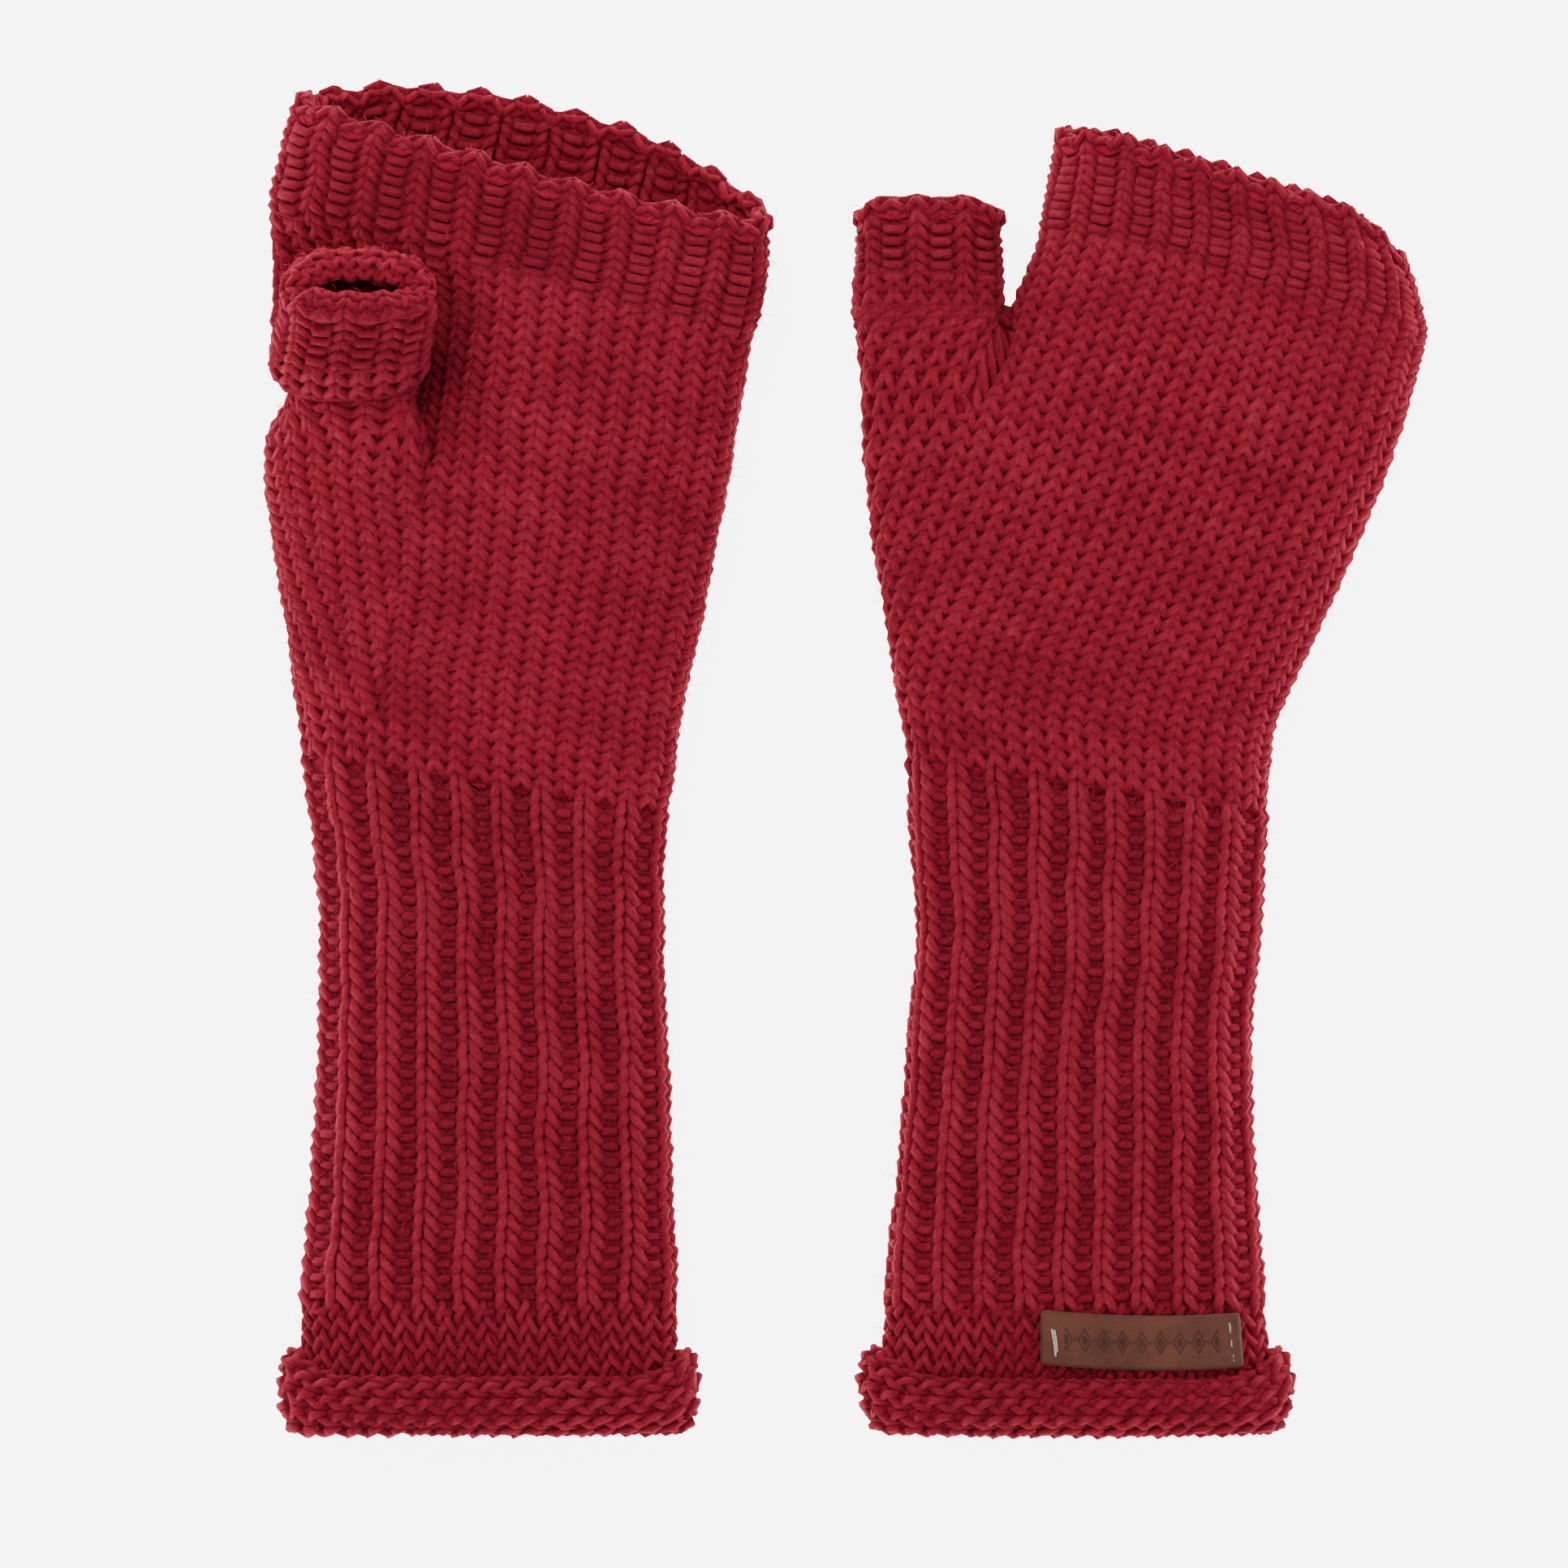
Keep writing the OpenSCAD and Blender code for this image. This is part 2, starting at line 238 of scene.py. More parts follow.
# The far rim of an open mouth bows up in the middle and down at its outer end, from side -1 to side 1
ARCH_RISE = (-0.9, 0.1)
ARCH_FALL = (0.35, 1.0)
ARCH_END = (-1.0, -0.55)
ARCH_DROP = 0.7

# Where the rounding of a mouth's corners begins, and how gently the rows start to slope, in millimetres
CORNER_FROM = 0.6
SLOPE_EASE = 8.0


def smooth(a, b, value):
    t = np.clip((value - a) / (b - a), 0, 1)
    return t * t * (3 - 2 * t)


def outline(table, column, height):
    """A smooth curve through a column of a table, which never overshoots its own points."""
    x = table[:, 0]
    y = table[:, column]
    gap = np.diff(x)
    rise = np.diff(y) / gap
    slope = np.zeros(len(x))
    slope[0], slope[-1] = rise[0], rise[-1]
    same = rise[:-1] * rise[1:] > 0
    inner = 2 * rise[:-1] * rise[1:] / np.where(same, rise[:-1] + rise[1:], 1)
    slope[1:-1] = np.where(same, inner, 0)
    h = np.clip(height, x[0], x[-1])
    i = np.clip(np.searchsorted(x, h, side="right") - 1, 0, len(x) - 2)
    t = (h - x[i]) / gap[i]
    return ((1 + 2 * t) * (1 - t) ** 2 * y[i] + t * (1 - t) ** 2 * gap[i] * slope[i]
            + t * t * (3 - 2 * t) * y[i + 1] + t * t * (t - 1) * gap[i] * slope[i + 1])


def across(angle):
    c = np.cos(angle)
    return np.sign(c) * np.abs(c) ** SIDE_POWER


def upward(angle):
    s = np.sin(angle)
    crown = np.abs(s) ** CROWN_POWER
    return np.where(s >= 0, crown, -np.minimum(1, FLAT_UNDERSIDE * crown))


def arching(side):
    """How far the rim bows, as a share of its full arch."""
    bow = smooth(*ARCH_RISE, side) * (1 - smooth(*ARCH_FALL, side))
    return bow - ARCH_DROP * (1 - smooth(*ARCH_END, side))


def rounded(corner, side):
    """How far an edge is drawn back towards its corners."""
    return corner * smooth(CORNER_FROM, 1.0, np.abs(side)) ** 2


def oval(glove, height, left, right, angle, out, dent):
    """A point on the glove's oval section, moved out from the outline."""
    plan = glove.plan
    bottom = outline(plan, UNDERSIDE, height)
    thick = outline(plan, THICKNESS, height)
    slope = outline(plan, SLOPE, height)
    side, up = across(angle), upward(angle)
    x = (left + right) / 2 + ((right - left) / 2 + out) * side
    pressed = (dent * smooth(*DENT_RISE, height) * (1 - smooth(*DENT_FALL, height))
               * (1 - smooth(*DENT_REACH, x - left)))
    top = thick * (1 - pressed) - thick / 2
    z = bottom + thick / 2 + (np.where(up > 0, top, thick / 2) + out) * up
    beyond = x - outline(plan, SLOPE_START, height)
    at_mouth = smooth(TILT_START, RIM, height)
    tilt = glove.mouth_tilt / 2 * at_mouth
    arch = glove.mouth_arch * at_mouth * (1 - up) / 2 * arching(side)
    round_off = rounded(np.where(side < 0, *glove.mouth_corners), side) * at_mouth
    y = (height - slope * (beyond + np.sqrt(beyond ** 2 + SLOPE_EASE ** 2)) / 2
         + tilt * (1 - up) + arch - round_off)
    return np.stack([x, y, z + 0 * x], axis=-1)


def body_point(glove, height, angle, out, dent=0.0):
    left, right = outline(glove.plan, LEFT_EDGE, height), outline(glove.plan, RIGHT_EDGE, height)
    return oval(glove, height, left, right, angle, out, dent)


def finger_point(glove, height, angle, out):
    left, right = outline(glove.finger_edge, LEFT_EDGE, height), outline(glove.plan, RIGHT_EDGE, height)
    return oval(glove, height, left, right, angle, out, glove.dent)


def thumb_point(glove, along, angle, out):
    """A point on the thumb sleeve, along millimetres up from its root."""
    way = glove.thumb_way
    k = 1 - THUMB_TAPER * along / THUMB_EDGE
    s = np.sin(angle)
    x = (glove.thumb_half[0] * k + out) * across(angle)
    t = (glove.thumb_half[1] * k + out) * np.sign(s) * np.abs(s) ** CROWN_POWER
    bent = smooth(0, THUMB_EDGE, along)
    centre = glove.thumb_root + way * along + np.array([*glove.thumb_lean, 0.0]) * bent
    round_off = rounded(THUMB_CORNER, across(angle)) * smooth(THUMB_ROOT, THUMB_RIM, along)
    centre = centre - way * np.reshape(round_off, (-1, 1))
    return centre + np.stack([x, -t * way[2], t * way[1]], axis=-1)


# ---------------------------------------------------------------- base surfaces

def arc(point, start, end, fractions):
    """Points spaced evenly by length between two angles in degrees, and that length."""
    angle = np.radians(np.linspace(start, end, ARC_SAMPLES + 1))
    p = point(angle)
    s = np.concatenate([[0], np.cumsum(np.linalg.norm(np.diff(p, axis=0), axis=1))])
    want = fractions * s[-1]
    return np.stack([np.interp(want, s, p[:, i]) for i in range(3)], axis=-1), s[-1]


def length_of(points):
    return np.linalg.norm(np.diff(points, axis=0), axis=1).sum()


def course_rows(courses):
    """Course numbers of a surface's rows, a little past both ends so that loops reach their neighbours."""
    count = int((courses + 2 * SPARE_COURSES) * ROWS_PER_COURSE) + 1
    return np.linspace(-SPARE_COURSES, courses + SPARE_COURSES, count)


def tube_surface(point, wales, courses, height_of, skew=None):
    """A closed tube: rows of points, each with its place in stitches."""
    rows, places = [], []
    fractions = np.linspace(0, 1, TUBE_COLUMNS + 1)
    whole = np.linspace(0, 1, TUBE_SAMPLES * TUBE_COLUMNS + 1)
    for course in course_rows(courses):
        around, _ = arc(lambda a: point(height_of(course), a, course), 0, 360, whole)
        turned = (fractions - (skew(course) / wales if skew else 0)) % 1.0
        rows.append(np.stack([np.interp(turned, whole, around[:, i]) for i in range(3)], axis=-1))
        places.append(np.stack([fractions * wales, np.full(TUBE_COLUMNS + 1, course)], axis=-1))
    return np.array(rows), np.array(places)


class HandLayout:
    """How the stitches of the hand part into the finger tube and the thumb sleeve."""

    def __init__(self, glove, inset):
        self.glove = glove
        self.inset = inset
        ring = np.linspace(0, 1, ARC_SAMPLES + 1)
        arm = arc(lambda a: body_point(glove, WRIST_HIGH, a, -inset), 0, 360, ring)[1]
        fingers = arc(lambda a: finger_point(glove, CROTCH, a, -inset), 0, 360, ring)[1]
        thumb = arc(lambda a: thumb_point(glove, 0, a, -inset), 0, 360, ring)[1]
        self.arm_pitch = arm / glove.wales["arm"]
        self.finger_pitch = fingers / glove.wales["fingers"]
        self.thumb_pitch = thumb / glove.wales["thumb"]

    def pitch(self, height):
        t = smooth(WRIST_HIGH, CROTCH, height)
        return self.arm_pitch * (1 - t) + self.finger_pitch * t

    def parting(self, height):
        return float(smooth(SPLIT_START, CROTCH, height))

    def low(self, height, start, end, fractions, dent=0.0):
        return arc(lambda a: body_point(self.glove, height, a, -self.inset, dent), start, end, fractions)[0]

    def fingers(self, height, start, end, fractions):
        return arc(lambda a: finger_point(self.glove, height, a, -self.inset), start, end, fractions)[0]

    def thumb(self, height, start, end, fractions):
        along = max(0.0, height - CROTCH) - max(0.0, SPLIT_START - height)
        return arc(lambda a: thumb_point(self.glove, along, a, -self.inset), start, end, fractions)[0]

    def borders(self, height):
        table = self.glove.borders
        return float(outline(table, 1, height)), float(outline(table, 2, height))

    def split_angle(self, height):
        """Right glove: where the last stitch that goes to the fingers lies on the upper side."""
        angle = np.radians(np.linspace(0, 180, ARC_SAMPLES + 1))
        p = body_point(self.glove, height, angle, -self.inset)
        s = np.concatenate([[0], np.cumsum(np.linalg.norm(np.diff(p, axis=0), axis=1))])
        return float(np.degrees(np.interp(self.glove.wales["fingers"] / 2 * self.pitch(height), s, angle)))

    def palm_row(self, height, fractions):
        """One row of the hand outside the gusset, with the wale number of each point."""
        w = self.parting(height)
        pitch = self.pitch(height)
        first, last = self.borders(height)
        glove = self.glove
        top_end = first if glove.side == "left" else self.split_angle(height)
        lower = (self.low(height, 0, last - 360, fractions, glove.dent) * (1 - w)
                 + self.fingers(height, 0, glove.hand_seam - 360, fractions) * w)
        upper = (self.low(height, 0, top_end, fractions, glove.dent) * (1 - w)
                 + self.fingers(height, 0, glove.hand_seam, fractions) * w)
        wales_lower = -fractions * length_of(lower) / pitch
        wales_upper = fractions * length_of(upper) / pitch
        points = np.concatenate([lower[::-1], upper[1:]])
        wales = np.concatenate([wales_lower[::-1], wales_upper[1:]])
        if glove.side == "right":
            side = (self.low(height, top_end, first, fractions) * (1 - w)
                    + self.thumb(height, 0, RIGHT_THUMB_BORDER, fractions) * w)
            thumb_pitch = pitch * (1 - w) + self.thumb_pitch * w
            wales_side = wales[-1] + fractions * length_of(side) / thumb_pitch
            points = np.concatenate([points, side[1:]])
            wales = np.concatenate([wales, wales_side[1:]])
        return points, wales

    def gusset_row(self, height, fractions):
        """One row of the gusset, which runs on into the thumb sleeve, with its wale numbers."""
        w = self.parting(height)
        first, last = self.borders(height)
        pitch = self.pitch(height) * (1 - w) + self.thumb_pitch * w
        if self.glove.side == "left":
            thumb = self.thumb(height, LEFT_THUMB_SEAM, LEFT_THUMB_SEAM + 360, fractions)
            middle = 0.0
        else:
            thumb = self.thumb(height, RIGHT_THUMB_BORDER, 360, fractions)
            middle = self.right_gusset_middle()
        points = self.low(height, first, last, fractions) * (1 - w) + thumb * w
        wales = middle + (fractions - 0.5) * length_of(points) / pitch
        return self.webbed(points, wales, self.palm_row(height, fractions)[0], pitch)

    def webbed(self, points, wales, palm, pitch):
        """The gusset's row carried on across the crotch, to just under the palm's edge on both sides."""
        def tucked(edge, inside):
            return edge + WEB_TUCK * (inside - edge) / np.linalg.norm(inside - edge)

        start, end = tucked(palm[-1], palm[-2]), tucked(palm[0], palm[1])
        way = np.linspace(0, 1, WEB_COLUMNS + 1)
        before = start + (points[0] - start) * way[:-1, None]
        after = points[-1] + (end - points[-1]) * way[1:, None]
        wales_before = wales[0] - np.linalg.norm(points[0] - start) / pitch * (1 - way[:-1])
        wales_after = wales[-1] + np.linalg.norm(end - points[-1]) / pitch * way[1:]
        return np.concatenate([before, points, after]), np.concatenate([wales_before, wales, wales_after])

    def right_gusset_middle(self):
        """The wale number halfway round the part of the thumb sleeve that grows from the gusset."""
        turn = (RIGHT_THUMB_BORDER + 360) / 2
        ring = np.linspace(0, 1, 2)
        reach = arc(lambda a: thumb_point(self.glove, 0, a, -self.inset), 0, turn, ring)[1]
        return self.glove.wales["fingers"] / 2 + reach / self.thumb_pitch


def patch_surface(row, courses, height_of, columns):
    """An open patch: rows of points, each with its place in stitches."""
    fractions = np.linspace(0, 1, columns + 1)
    rows, places = [], []
    for course in course_rows(courses):
        points, wales = row(height_of(course), fractions)
        rows.append(points)
        places.append(np.stack([wales, np.full(len(wales), course)], axis=-1))
    return np.array(rows), np.array(places)


def surface_normals(points, closed):
    """Outward normals of a grid whose rows climb the glove and whose columns run round it."""
    up = np.gradient(points, axis=0)
    if closed:
        ring = np.concatenate([points[:, -2:-1], points, points[:, 1:2]], axis=1)
        round_ = (ring[:, 2:] - ring[:, :-2]) / 2
    else:
        round_ = np.gradient(points, axis=1)
    n = np.cross(up, round_)
    return n / np.maximum(np.linalg.norm(n, axis=-1, keepdims=True), 1e-9)


# ---------------------------------------------------------------- meshes and objects

def closed_skin(outer, inner, joined):
    """A thin closed skin between two grids of points, whose ends meet when joined is true."""
    if joined:
        outer, inner = outer[:, :-1], inner[:, :-1]
    rows, columns = outer.shape[:2]
    front = np.arange(rows * columns).reshape(rows, columns)
    if joined:
        front = np.concatenate([front, front[:, :1]], axis=1)
    back = front + rows * columns

    def strip(*corners):
        return np.stack([c.ravel() for c in corners], axis=-1)

    faces = [strip(front[:-1, :-1], front[1:, :-1], front[1:, 1:], front[:-1, 1:]),
             strip(back[:-1, :-1], back[:-1, 1:], back[1:, 1:], back[1:, :-1]),
             strip(front[0, :-1], front[0, 1:], back[0, 1:], back[0, :-1]),
             strip(front[-1, 1:], front[-1, :-1], back[-1, :-1], back[-1, 1:])]
    if not joined:
        faces += [strip(front[:-1, 0], back[:-1, 0], back[1:, 0], front[1:, 0]),
                  strip(front[1:, -1], back[1:, -1], back[:-1, -1], front[:-1, -1])]
    return np.concatenate([outer.reshape(-1, 3), inner.reshape(-1, 3)]), np.concatenate(faces)


def read_mesh(mesh):
    """A mesh's points, its faces' corners, and where each face starts among them."""
    verts = np.empty(len(mesh.vertices) * 3, dtype=np.float32)
    mesh.vertices.foreach_get("co", verts)
    corners = np.empty(len(mesh.loops), dtype=np.int32)
    mesh.loops.foreach_get("vertex_index", corners)
    starts = np.empty(len(mesh.polygons), dtype=np.int32)
    mesh.polygons.foreach_get("loop_start", starts)
    return verts.reshape(-1, 3), corners, starts


def write_mesh(name, verts, corners, starts, attributes):
    """A smooth mesh from such arrays, with values stored on its points."""
    mesh = bpy.data.meshes.new(name)
    mesh.vertices.add(len(verts))
    mesh.vertices.foreach_set("co", np.ascontiguousarray(verts, dtype=np.float32).ravel())
    mesh.loops.add(len(corners))
    mesh.loops.foreach_set("vertex_index", np.ascontiguousarray(corners, dtype=np.int32))
    mesh.polygons.add(len(starts))
    mesh.polygons.foreach_set("loop_start", np.ascontiguousarray(starts, dtype=np.int32))
    mesh.update(calc_edges=True)
    for key, values in attributes.items():
        kind, field = ("FLOAT", "value") if values.ndim == 1 else ("FLOAT_VECTOR", "vector")
        mesh.attributes.new(key, kind, "POINT").data.foreach_set(field, values.astype(np.float32).ravel())
    mesh.shade_smooth()
    return mesh


def merged(parts):
    """Several meshes' points, corners and starts as one mesh's."""
    verts, corners, starts = [], [], []
    count = corner_count = 0
    for part_verts, part_corners, part_starts in parts:
        verts.append(part_verts)
        corners.append(part_corners + count)
        starts.append(part_starts + corner_count)
        count += len(part_verts)
        corner_count += len(part_corners)
    return np.concatenate(verts), np.concatenate(corners), np.concatenate(starts)


def new_object(name, data):
    made = bpy.data.objects.new(name, data)
    bpy.context.scene.collection.objects.link(made)
    return made


def new_piece(mesh, finish_name):
    """An object of the mesh's own name in one of the finishes."""
    mesh.materials.append(finish(finish_name))
    return new_object(mesh.name, mesh)


def base_mesh(name, points, places, closed):
    """The surface as a mesh with its stitch lattice as a UV map and its normals as an attribute."""
    rows, columns = points.shape[:2]
    grid = np.arange(rows * columns).reshape(rows, columns)
    corners = np.stack([grid[:-1, :-1], grid[1:, :-1], grid[1:, 1:], grid[:-1, 1:]], axis=-1).ravel()
    normals = surface_normals(points, closed).reshape(-1, 3)
    mesh = write_mesh(name, points.reshape(-1, 3) * MM, corners, np.arange(0, len(corners), 4),
                      {"base_normal": normals})
    uv = places.reshape(-1, 2) + np.array([WALE_ORIGIN, COURSE_ORIGIN])
    layer = mesh.uv_layers.new(name="lattice")
    layer.data.foreach_set("uv", (uv[corners] / LATTICE).astype(np.float32).ravel())
    return mesh


# ---------------------------------------------------------------- yarn

def link(tree, source, target):
    tree.links.new(source, target)


class Tree:
    """A short way to add and join nodes."""

    def __init__(self, tree):
        self.tree = tree

    def node(self, kind, inputs=None, **settings):
        made = self.tree.nodes.new(kind)
        for key, value in settings.items():
            setattr(made, key, value)
        for key, value in (inputs or {}).items():
            socket = made.inputs[key]
            if isinstance(value, bpy.types.NodeSocket):
                link(self.tree, value, socket)
            else:
                socket.default_value = value
        return made

    def math(self, operation, a, b=0.0, c=0.0):
        return self.node("ShaderNodeMath", {0: a, 1: b, 2: c}, operation=operation).outputs[0]

    def scale(self, vector, by):
        return self.node("ShaderNodeVectorMath", {0: vector, 3: by}, operation="SCALE").outputs[0]

    def vectors(self, operation, a, b):
        return self.node("ShaderNodeVectorMath", {0: a, 1: b}, operation=operation)

    def stored(self, name, kind):
        return self.node("GeometryNodeInputNamedAttribute", {"Name": name}, data_type=kind).outputs[0]


KNIT_INPUTS = (
    ("First Wale", "NodeSocketInt", 0),
    ("Wales", "NodeSocketInt", 40),
    ("Wales Round", "NodeSocketInt", 0),
    ("Courses", "NodeSocketInt", 10),
    ("Steps", "NodeSocketInt", 12),
    ("Sides", "NodeSocketInt", 6),
    ("Yarn Radius", "NodeSocketFloat", 0.0012),
    ("Loop Width", "NodeSocketFloat", 0.19),
    ("Loop Height", "NodeSocketFloat", 0.92),
    ("Loop Depth", "NodeSocketFloat", 0.0008),
    ("Loop Arch", "NodeSocketFloat", 0.0),
    ("Loop Lean", "NodeSocketFloat", 0.0),
    ("Loop Slant", "NodeSocketFloat", 0.0),
    ("Rib", "NodeSocketFloat", 0.0),
    ("Rib Relief", "NodeSocketFloat", 0.0),
    ("Rib Squeeze", "NodeSocketFloat", 0.0),
    ("Unevenness", "NodeSocketFloat", 1.0),
    ("Seed", "NodeSocketInt", 1),
)


# How sharply ribs turn from knit to purl, and how far apart two seeds lie in the noise
RIB_SHARPNESS = 2.2
SEED_STEP = 7.3

# Stitches wander slowly over several wales, quickly within one, and the yarn is thick and thin
SLOW_SCALE = 0.21
QUICK_SCALE = 0.9
THICK_SCALE = 2.3
THICK_SPREAD = 0.7
# Slow and quick: along the course and up the wale in stitches, and off the surface in metres
WANDER = ((0.7, 0.34), (0.5, 0.3), (0.0024, 0.0014))


def knit_tree():
    """Loops of yarn over a surface: each course is one strand, looped downwards once for every wale."""
    tree = bpy.data.node_groups.new("knit_loops", "GeometryNodeTree")
    tree.interface.new_socket("Surface", in_out="INPUT", socket_type="NodeSocketGeometry")
    for name, kind, default in KNIT_INPUTS:
        tree.interface.new_socket(name, in_out="INPUT", socket_type=kind).default_value = default
    tree.interface.new_socket("Yarn", in_out="INPUT", socket_type="NodeSocketMaterial")
    tree.interface.new_socket("Knitting", in_out="OUTPUT", socket_type="NodeSocketGeometry")
    t = Tree(tree)
    given = t.node("NodeGroupInput").outputs

    # Each point's course, and how far along it the point is, in wales
    per_course = t.math("MULTIPLY_ADD", given["Wales"], given["Steps"], 1)
    count = t.math("MULTIPLY", per_course, given["Courses"])
    points = t.node("GeometryNodePoints", {"Count": count})
    index = t.node("GeometryNodeInputIndex").outputs[0]
    course = t.math("FLOOR", t.math("DIVIDE", t.math("ADD", index, 0.5), per_course))
    step = t.math("SUBTRACT", index, t.math("MULTIPLY", course, per_course))
    along = t.math("ADD", t.math("DIVIDE", step, given["Steps"]), given["First Wale"])
    phase = t.math("SUBTRACT", t.math("FRACT", along), 0.5)

    # Knit wales turn to purl wales and back between the ribs
    beat = t.math("MULTIPLY", along, math.pi)
    swing = t.math("MULTIPLY", t.math("SINE", beat), RIB_SHARPNESS)
    face = t.node("ShaderNodeClamp", {"Value": swing, "Min": -1.0, "Max": 1.0}).outputs[0]
    rib = given["Rib"]
    plain = t.math("SUBTRACT", 1.0, t.math("ABSOLUTE", rib))
    face = t.math("ADD", t.math("MULTIPLY", face, rib), plain)

    # The loop itself: a head at the top, two legs, and feet shared with its neighbours
    twice = t.math("MULTIPLY", phase, 4 * math.pi)
    sideways = t.math("MULTIPLY", t.math("SINE", twice), given["Loop Width"])
    squeeze = t.math("MULTIPLY", t.math("COSINE", beat), given["Rib Squeeze"])
    wale = t.math("SUBTRACT", t.math("ADD", along, sideways), squeeze)
    upwards = t.math("MULTIPLY", t.math("COSINE", t.math("MULTIPLY", phase, 2 * math.pi)), -1.0)
    rise = t.math("MULTIPLY", upwards, given["Loop Height"])
    leaning = t.math("MULTIPLY", given["Loop Lean"], t.math("MAXIMUM", face, 0.0))
    wale = t.math("ADD", wale, t.math("MULTIPLY", rise, leaning))
    depth = t.math("MULTIPLY", t.math("COSINE", twice), t.math("MULTIPLY", given["Loop Depth"], -1.0))
    depth = t.math("MULTIPLY_ADD", upwards, given["Loop Arch"], depth)
    lift = t.math("MULTIPLY_ADD", depth, face, t.math("MULTIPLY", face, given["Rib Relief"]))
    slant = t.math("MULTIPLY", t.math("SINE", t.math("MULTIPLY", phase, 2 * math.pi)), given["Loop Slant"])
    place = t.math("ADD", t.math("ADD", course, 0.5), t.math("ADD", rise, slant))

    # Hand knitting is never quite even
    seed = t.math("MULTIPLY", given["Seed"], SEED_STEP)
    spot = t.node("ShaderNodeCombineXYZ", {0: wale, 1: place, 2: seed}).outputs[0]

    def noise(scale, detail):
        return t.node("ShaderNodeTexNoise", {"Vector": spot, "Scale": scale, "Detail": detail}).outputs

    thick = noise(THICK_SCALE, 1.0)["Fac"]
    slow = t.node("ShaderNodeSeparateXYZ", {0: noise(SLOW_SCALE, 1.0)["Color"]}).outputs
    quick = t.node("ShaderNodeSeparateXYZ", {0: noise(QUICK_SCALE, 2.0)["Color"]}).outputs

    def wander(axis):
        slow_size, quick_size = WANDER[axis]
        far = t.math("MULTIPLY", t.math("SUBTRACT", slow[axis], 0.5), slow_size)
        near = t.math("MULTIPLY", t.math("SUBTRACT", quick[axis], 0.5), quick_size)
        return t.math("MULTIPLY", t.math("ADD", far, near), given["Unevenness"])

    wale = t.math("ADD", wale, wander(0))
    place = t.math("ADD", place, wander(1))
    lift = t.math("ADD", lift, wander(2))

    round_count = given["Wales Round"]
    wrapped = t.math("FLOORED_MODULO", wale, t.math("MAXIMUM", round_count, 1))
    is_round = t.math("GREATER_THAN", round_count, 0.5)
    wale = t.math("ADD", wale, t.math("MULTIPLY", is_round, t.math("SUBTRACT", wrapped, wale)))
    spot = t.node("ShaderNodeCombineXYZ", {
        0: t.math("DIVIDE", t.math("ADD", wale, WALE_ORIGIN), LATTICE),
        1: t.math("DIVIDE", t.math("ADD", place, COURSE_ORIGIN), LATTICE)}).outputs[0]

    lattice = t.stored("lattice", "FLOAT_VECTOR")
    normal = t.stored("base_normal", "FLOAT_VECTOR")
    position = t.node("GeometryNodeInputPosition").outputs[0]

    def on_surface(value):
        made = t.node("GeometryNodeSampleUVSurface", data_type="FLOAT_VECTOR")
        link(tree, given["Surface"], made.inputs["Mesh"])
        link(tree, value, made.inputs["Value"])
        link(tree, lattice, made.inputs["UV Map"])
        link(tree, spot, made.inputs["Sample UV"])
        return made

    ground = on_surface(position)
    outward = on_surface(normal)
    capture = t.node("GeometryNodeCaptureAttribute")
    for kind, name, source in (
            ("VECTOR", "ground", ground.outputs[0]), ("VECTOR", "outward", outward.outputs[0]),
            ("BOOLEAN", "on", ground.outputs["Is Valid"]), ("FLOAT", "lift", lift),
            ("FLOAT", "course", course), ("FLOAT", "order", index), ("FLOAT", "thick", thick)):
        capture.capture_items.new(kind, name)
        link(tree, source, capture.inputs[name])
    link(tree, points.outputs[0], capture.inputs["Geometry"])
    got = capture.outputs
    off = t.node("FunctionNodeBooleanMath", {0: got["on"]}, operation="NOT").outputs[0]
    kept = t.node("GeometryNodeDeleteGeometry", {
        "Geometry": got["Geometry"], "Selection": off}, domain="POINT")
    raised = t.vectors("ADD", got["ground"], t.scale(got["outward"], got["lift"])).outputs[0]
    placed = t.node("GeometryNodeSetPosition", {"Geometry": kept.outputs[0], "Position": raised})
    strands = t.node("GeometryNodePointsToCurves", {
        "Points": placed.outputs[0], "Curve Group ID": got["course"], "Weight": got["order"]})
    swell = t.math("ADD", 1.0, t.math("MULTIPLY", t.math("SUBTRACT", got["thick"], 0.5), THICK_SPREAD))
    strands = t.node("GeometryNodeSetCurveRadius", {"Curve": strands.outputs[0], "Radius": swell})
    profile = t.node("GeometryNodeCurvePrimitiveCircle", {
        "Resolution": given["Sides"], "Radius": given["Yarn Radius"]})
    yarn = t.node("GeometryNodeCurveToMesh", {
        "Curve": strands.outputs[0], "Profile Curve": profile.outputs[0], "Fill Caps": True})
    above_ground = t.vectors("SUBTRACT", position, got["ground"]).outputs[0]
    height = t.vectors("DOT_PRODUCT", above_ground, got["outward"]).outputs["Value"]
    stored = t.node("GeometryNodeStoreNamedAttribute", {
        "Geometry": yarn.outputs[0], "Name": "height", "Value": height}, data_type="FLOAT", domain="POINT")
    smoothed = t.node("GeometryNodeSetShadeSmooth", {"Geometry": stored.outputs[0]})
    real = t.node("GeometryNodeRealizeInstances", {"Geometry": smoothed.outputs[0]})
    dressed = t.node("GeometryNodeSetMaterial", {"Geometry": real.outputs[0], "Material": given["Yarn"]})
    link(tree, dressed.outputs[0], t.node("NodeGroupOutput").inputs["Knitting"])
    return tree


